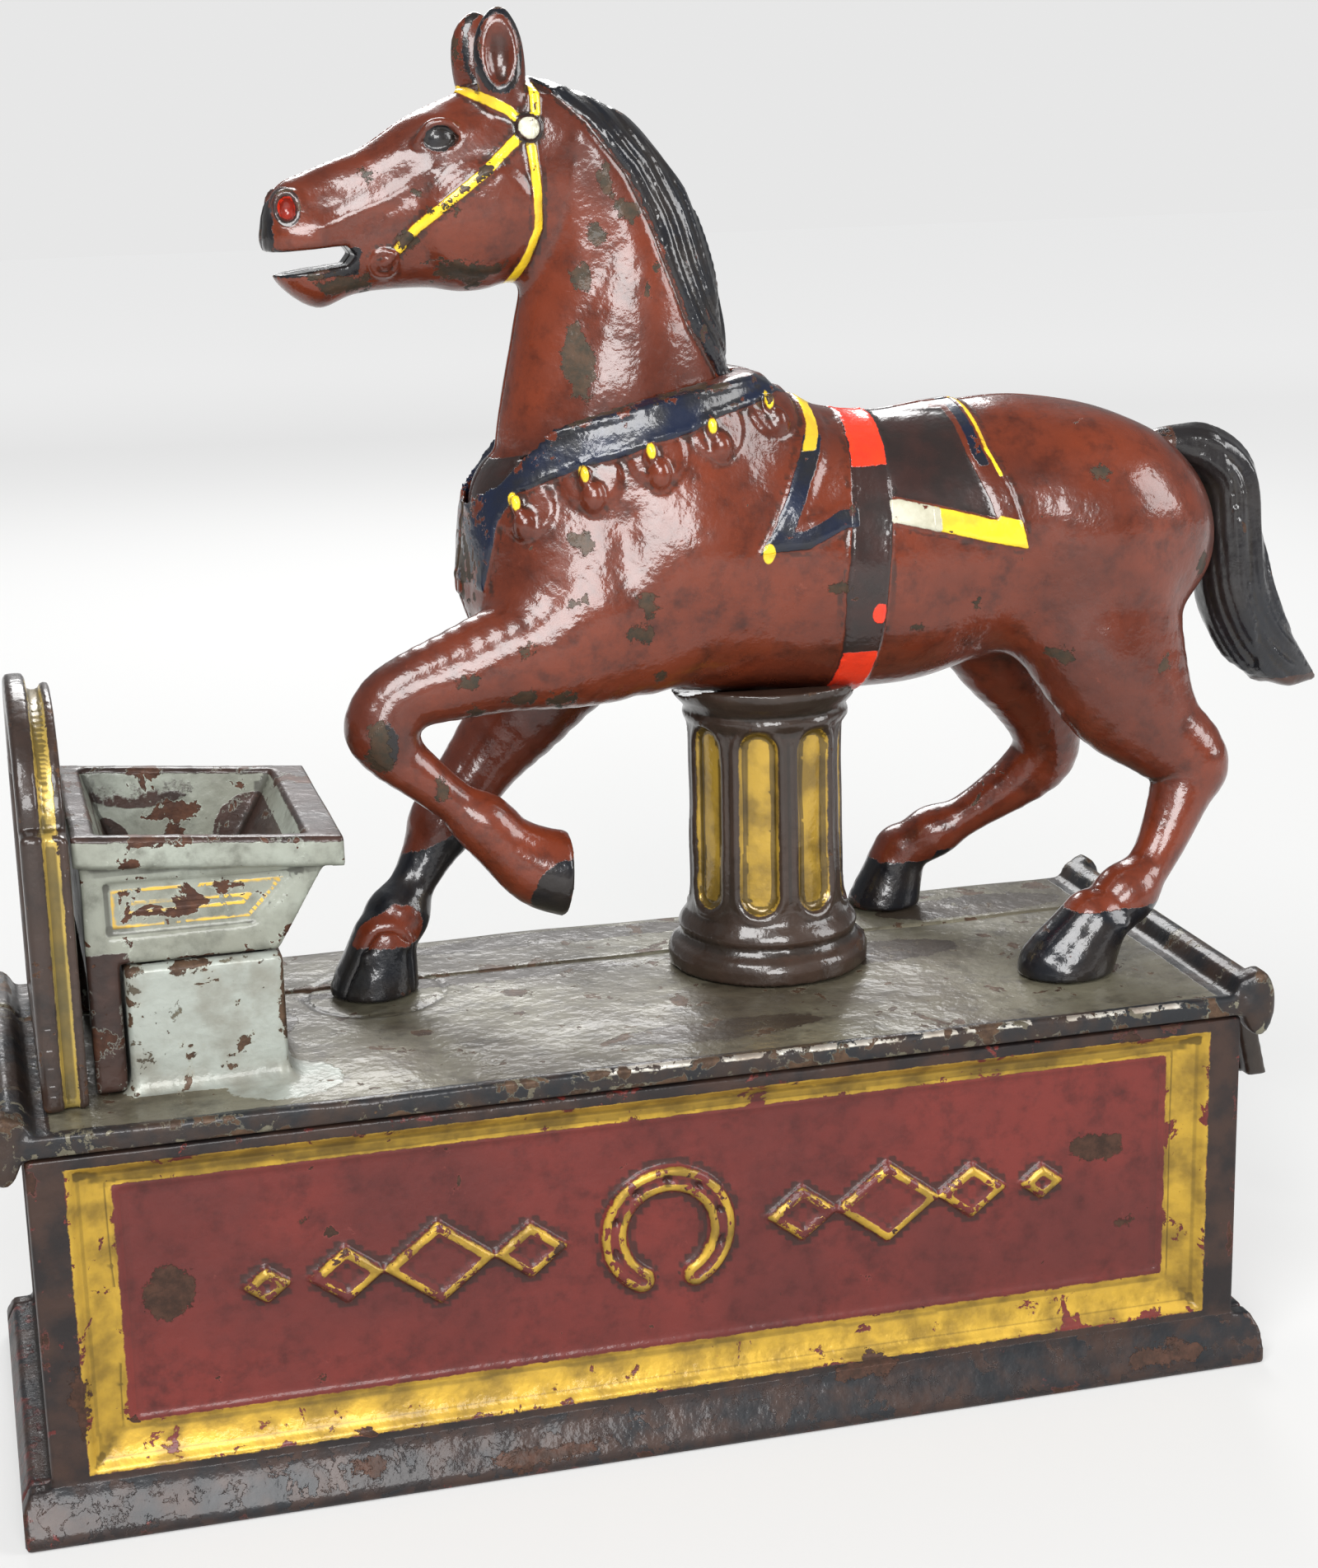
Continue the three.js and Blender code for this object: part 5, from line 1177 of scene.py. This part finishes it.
def head():
    clay = Clay((-46, -5, 120), (26.5, 19, 201.8), STEP * 0.75)
    clay.join(loft(CROWN, JAW, CHEEKS))
    clay.join(leaning_loft(NECK, LEAN), 4)
    where, x, y, z = clay.window((-46, -5, 120), (26.5, 19, 156))
    u, w = x - PIVOT[0], z - PIVOT[1]
    far, angle = np.hypot(u, w), np.degrees(np.arctan2(w, u))
    root = oval(far - ROOT_R / 2, y - MID, ROOT_R / 2, 11.0)
    wedge = np.maximum((-20 - angle), (angle - 40)) * np.pi / 180 * far
    root = -smooth_min(-root, -wedge, 0.6)
    clay.value[where] = smooth_min(clay.value[where], root, 1.0)
    clay.join(ball((PIVOT[0], MID, PIVOT[1]), (HUB[0], HUB[1], HUB[0])), 0.8)
    arm = [(-9.3, 129.1), (5.2, 122.3), (8.6, 122.9), (9.2, 126.4), (7.9, 128.1), (-6.7, 134.9)]
    clay.join(side_plate(arm, (MID - 4.6, MID + 4.6), 0.5), 0.5)
    clay.join(cross_pin(CRANK_PIN, 3.2, (MID - 4.6, MID + 4.6)), 0.4)
    clay.raise_by(head_relief)
    ear(clay, MID - 4.6, 0, 201.0, -1)
    ear(clay, MID + 4.6, -1.4, 200.6, 1)
    clay.cut(side_plate(MOUTH, (-20, 40), 0.2), 0.9)
    for near, out in ((True, -1), (False, 1)):
        y = clay.side_y(*EYE, near)
        clay.cut(ball((EYE[0], y, EYE[1]), (3.0, 1.1, 2.0)), 0.8)
        clay.join(ball((EYE[0], y - out * 0.9, EYE[1] - 0.1), (2.3, 1.7, 1.9)), 0.15)
        for lid in LIDS:
            places = [[EYE[0] + u, y + out * v, EYE[1] + w, *reach] for u, v, w, *reach in lid]
            clay.join(chain(places), 0.5)
        y = clay.side_y(*NOSTRIL, near)
        clay.join(ball((NOSTRIL[0] + 0.2, y - out * 0.4, NOSTRIL[1]), (2.3, 1.1, 2.6)), 0.9)
        clay.cut(ball((NOSTRIL[0], y + out * 0.5, NOSTRIL[1] - 0.1), (1.25, 1.6, 1.7)), 0.5)
    inner = catmull(NECK, 6)
    where, x, y, z = clay.window((-12, -2, 148), (20, 16, 186))
    hollow = leaning_distance(inner[8:-8], LEAN, x, y, z) + 3.2
    clay.value[where] = np.maximum(clay.value[where], -hollow)
    clay.cut(block((PIVOT[0] + 8.8, 30), (MID - 1.7, MID + 1.7), (108, 137), 0.3))
    clay.cut(cross_pin(PIVOT, 2.2, (-20, 40)))
    clay.cut(cross_pin(CRANK_PIN, 1.3, (-20, 40)))
    zones = {
        "yellow": lambda x, y, z: bridle_distance(x, z) - 0.66 + FAR * (
            (spot(x, z, BIT) < 2.3) | (spot(x, z, ROSETTE) < 1.9)
            | (z > 191)),
        "worn": lambda x, y, z: spots_distance(HEAD_WEAR, x, z),
        "pale": lambda x, y, z: spot(x, z, ROSETTE) - 1.45,
        "orange": lambda x, y, z: np.hypot((x - NOSTRIL[0]) * 1.1, (z - NOSTRIL[1]) * 0.8) - 1.25,
        "black": lambda x, y, z: np.minimum(
            np.minimum(mane_distance(x, z), np.hypot(x - EYE[0], (z - EYE[1]) * 1.25) - 2.2),
            np.minimum(x + 43.6, np.minimum(
                np.abs(np.hypot((x + 11.6) / 3.0, (z - 195.4) / 5.4) - 1) * 3 - 0.35,
                np.maximum(np.abs(z - 167.6) - 1.9, x + 32)))),
        # Painted shade: the neck's root below the collar line is painted near-black as the shadowed gap at
        # the collar; the rings round the rosette and nostril are the paint's own.
        "dark": lambda x, y, z: np.minimum.reduce([
            z - 142.4 - 0.25 * x, np.abs(spot(x, z, ROSETTE) - 1.8) - 0.35,
            np.hypot((x - NOSTRIL[0]) * 1.1, (z - NOSTRIL[1]) * 0.8) - 2.1]),
    }
    cast(clay, "head_near_cast", "head", ["head_near_half", "head_rivet_1", "head_rivet_2"],
         horse_paint, zones, near_half)
    cast(clay, "head_far_cast", "head", ["head_far_half"], horse_paint, zones, far_half)


head()


# ------------------------------------------------------------------ column and lever

COLUMN_LINE = [(59.1, 15.2), (61.2, 15.4), (62.4, 14.9), (63.2, 13.9), (64.2, 13.2), (65.2, 13.8),
               (66.2, 13.4), (67.6, 12.4), (69.4, 11.9), (84, 11.7), (97, 11.8), (98.2, 12.5),
               (98.8, 12.6), (99.3, 12.2), (100.2, 12.7), (101.2, 13.6), (102.4, 14.4), (103.6, 14.6)]
FLUTES = {"count": 8, "half": 3.3, "low": 72.2, "high": 94.2, "turn": 22.5}


def flute_distance(x, y, z):
    """Signed distance to the nearest flute's round-ended outline, over the column's skin."""
    angle = np.degrees(np.arctan2(y - MID, x - COLUMN[0])) + 90 - FLUTES["turn"]
    each = 360 / FLUTES["count"]
    across = ((angle + each / 2) % each - each / 2) * np.pi / 180 * COLUMN[1]
    along = np.maximum(np.maximum(FLUTES["low"] - z, z - FLUTES["high"]), 0)
    return np.hypot(across, along) - FLUTES["half"]


def column():
    foot = DECK[3] + GAP
    clay = Clay((COLUMN[0] - 16, MID - 16, foot), (COLUMN[0] + 16, MID + 16, COLUMN[2]), STEP * 0.8)
    _, x, y, z = clay.window()
    line = np.array(COLUMN_LINE)
    r = np.hypot(x - COLUMN[0], y - MID)
    body = (r - np.interp(z, *line.T)) * 0.85
    flutes = flute_distance(x, y, z)
    body = body + 0.9 * ramp(-flutes, -0.1, 0.9) - 0.22 * bump(flutes, 0, (0.45, 0), (0.4, 1))
    body = body - 0.09 * uneven(x, y, z, 9, 31)
    clay.value[:] = np.maximum(np.maximum(body, 7.0 - r), np.maximum(foot - z, z - COLUMN[2]))
    where, d = loft(BACK, BELLY, GIRTH)(clay)
    clay.value[where] = np.maximum(clay.value[where], 1.0 - d)
    zones = {"gold": lambda x, y, z: np.where(np.hypot(x - COLUMN[0], y - MID) > 9,
                                                  flute_distance(x, y, z) + 0.25, FAR)}
    cast(clay, "column_cast", "base", ["column"], column_paint, zones)


LEVER_SIDE = [(34.6, 30.4), (55.6, 43.4), (63, 45), (68.4, 45.4), (92, 47.4), (100, 48.4), (107, 46.4),
              (110.6, 31), (106.4, 31), (103.6, 42.6), (97, 43.6), (90.8, 41.4), (70, 36), (68, 33.4),
              (54.8, 34.2), (34.6, 31)]
LEVER_TAB = [(104.4, 44), (107.6, 44), (110.6, 31), (107.2, 31)]
LEVER_FORK = [(23.3, 35.6), (39.4, 38.2), (38.6, 33.2), (24.2, 29.8)]
LEVER_END = (26.9, 33.24)
LEVER_LINK = (LEVER[0] + 2.6, LEVER[1] - 14.77)


def pull_lever():
    """The lever under the deck, whose dark tab shows at the right."""
    clay = Clay((22.8, MID - 5.2, 22.4), (110.8, MID + 5.2, 48.6))
    thick = (MID - 1.6, MID + 1.6)
    clay.join(side_plate(LEVER_SIDE, thick, 0.6))
    clay.join(side_plate(LEVER_TAB, (MID - 5, MID + 5), 0.7), 1.2)
    arm = [(-2.8, 0), (-2, -2.6), (2, -2.6), (2.8, 0)]
    clay.join(side_plate([(LEVER[0] + 4.4, LEVER[1]), (LEVER[0] - 4.4, LEVER[1]),
                          *((LEVER_LINK[0] + u, LEVER_LINK[1] + w) for u, w in arm)], thick, 0.5), 0.6)
    clay.join(cross_pin(LEVER, 5.0, (MID - 2, MID + 2)), 0.4)
    clay.cut(block((0, 33.3), (MID - 1.61, MID + 1.61), (20, 60), 0.1))
    for span in ((MID - 3.8, MID - 1.5), (MID + 1.5, MID + 3.8)):
        clay.join(side_plate(LEVER_FORK, span, 0.4), 0.3)
    for at, radius in ((LEVER, 2.1), (LEVER_END, 1.3), (LEVER_LINK, 1.5)):
        clay.cut(cross_pin(at, radius, (-20, 40)))
    cast(clay, "pull_lever_cast", "lever", ["pull_lever"], lever_paint)


column()
pull_lever()

# The working parts keep their CAD shapes.
METALS = {"bottom_plate": iron, "coin_trap": iron, "manger_flap": iron, "connecting_rod": iron}
for name, node in frame["nodes"].items():
    if not node.hide_render:
        node.data.materials.clear()
        node.data.materials.append(METALS.get(name, steel))


# ------------------------------------------------------------------ floor, light and camera

FLOOR_HALF = 3000
LAMPS = (  # name, place, target, size and power
    ("key", (-0.40, -0.50, 0.75), (0.01, 0, 0.1), (0.4, 0.4), 8),
    ("front", (-0.10, -0.95, 0.48), (0.0, 0, 0.1), (0.55, 0.4), 11),
    ("side", (0.75, -0.35, 0.45), (0.02, 0, 0.1), (0.35, 0.5), 5),
    ("rear", (0.1, 0.75, 0.6), (0.02, 0, 0.12), (0.5, 0.4), 6),
)


def floor():
    """A pale floor that glows a little more far away, where the lamps don't reach."""
    corners = [(-1, -1, 0), (1, -1, 0), (1, 1, 0), (-1, 1, 0)]
    made = add_mesh("floor", np.array(corners, float) * FLOOR_HALF, np.array([[0, 1, 2, 3]]))
    plain = bpy.data.materials.new("floor_plain")
    plain.use_nodes = True
    shader = plain.node_tree.nodes["Principled BSDF"]
    shader.inputs["Base Color"].default_value = (0.32, 0.32, 0.315, 1)
    shader.inputs["Roughness"].default_value = 0.85
    shader.inputs["Emission Color"].default_value = (1, 1, 1, 1)
    tree = plain.node_tree
    place = tree.nodes.new("ShaderNodeTexCoord").outputs["Object"]
    away = tree.nodes.new("ShaderNodeVectorMath")
    away.operation = "LENGTH"
    tree.links.new(place, away.inputs[0])
    glow = tree.nodes.new("ShaderNodeMapRange")
    glow.interpolation_type = "SMOOTHSTEP"
    for name, value in (("From Min", 0.1), ("From Max", 1.6), ("To Min", 0.36), ("To Max", 0.72)):
        glow.inputs[name].default_value = value
    tree.links.new(away.outputs["Value"], glow.inputs["Value"])
    tree.links.new(glow.outputs[0], shader.inputs["Emission Strength"])
    made.data.materials.append(plain)


def soft_light(name, place, target, size, power):
    light = bpy.data.lights.new(name, "AREA")
    light.shape = "RECTANGLE"
    light.size, light.size_y = size
    light.energy = power
    made = bpy.data.objects.new(name, light)
    made.location = place
    made.rotation_euler = (Vector(target) - Vector(place)).to_track_quat("-Z", "Y").to_euler()
    bpy.context.scene.collection.objects.link(made)


def camera():
    """The camera stands a little left of the front and looks down on the base."""
    yaw, pitch, roll = (np.radians(a) for a in (14.74, 14.71, -1.40))
    ahead = Vector((np.sin(yaw) * np.cos(pitch), np.cos(yaw) * np.cos(pitch), -np.sin(pitch)))
    right = Vector((np.cos(yaw), -np.sin(yaw), 0))
    up = right.cross(ahead)
    turned_right = np.cos(roll) * right + np.sin(roll) * up
    turned_up = np.cos(roll) * up - np.sin(roll) * right
    lens = bpy.data.cameras.new("camera")
    lens.lens, lens.sensor_width, lens.sensor_fit = 61.54, 36.0, "AUTO"
    made = bpy.data.objects.new("camera", lens)
    made.matrix_world = Matrix((turned_right, turned_up, -ahead)).transposed().to_4x4()
    made.location = (-0.0894, -0.3712, 0.1908)
    bpy.context.scene.collection.objects.link(made)
    bpy.context.scene.camera = made


def world():
    """A backdrop that looks pale but lights the bank only dimly."""
    made = bpy.data.worlds.new("studio")
    made.use_nodes = True
    tree = made.node_tree
    back = tree.nodes["Background"]
    path = tree.nodes.new("ShaderNodeLightPath")
    mix = tree.nodes.new("ShaderNodeMix")
    mix.data_type = "RGBA"
    mix.inputs[6].default_value = (0.22, 0.223, 0.227, 1)
    mix.inputs[7].default_value = (0.80, 0.80, 0.80, 1)
    tree.links.new(path.outputs["Is Camera Ray"], mix.inputs[0])
    tree.links.new(mix.outputs[2], back.inputs["Color"])
    bpy.context.scene.world = made


floor()
for lamp in LAMPS:
    soft_light(*lamp)
bpy.context.scene.view_settings.view_transform = "Standard"
world()
camera()
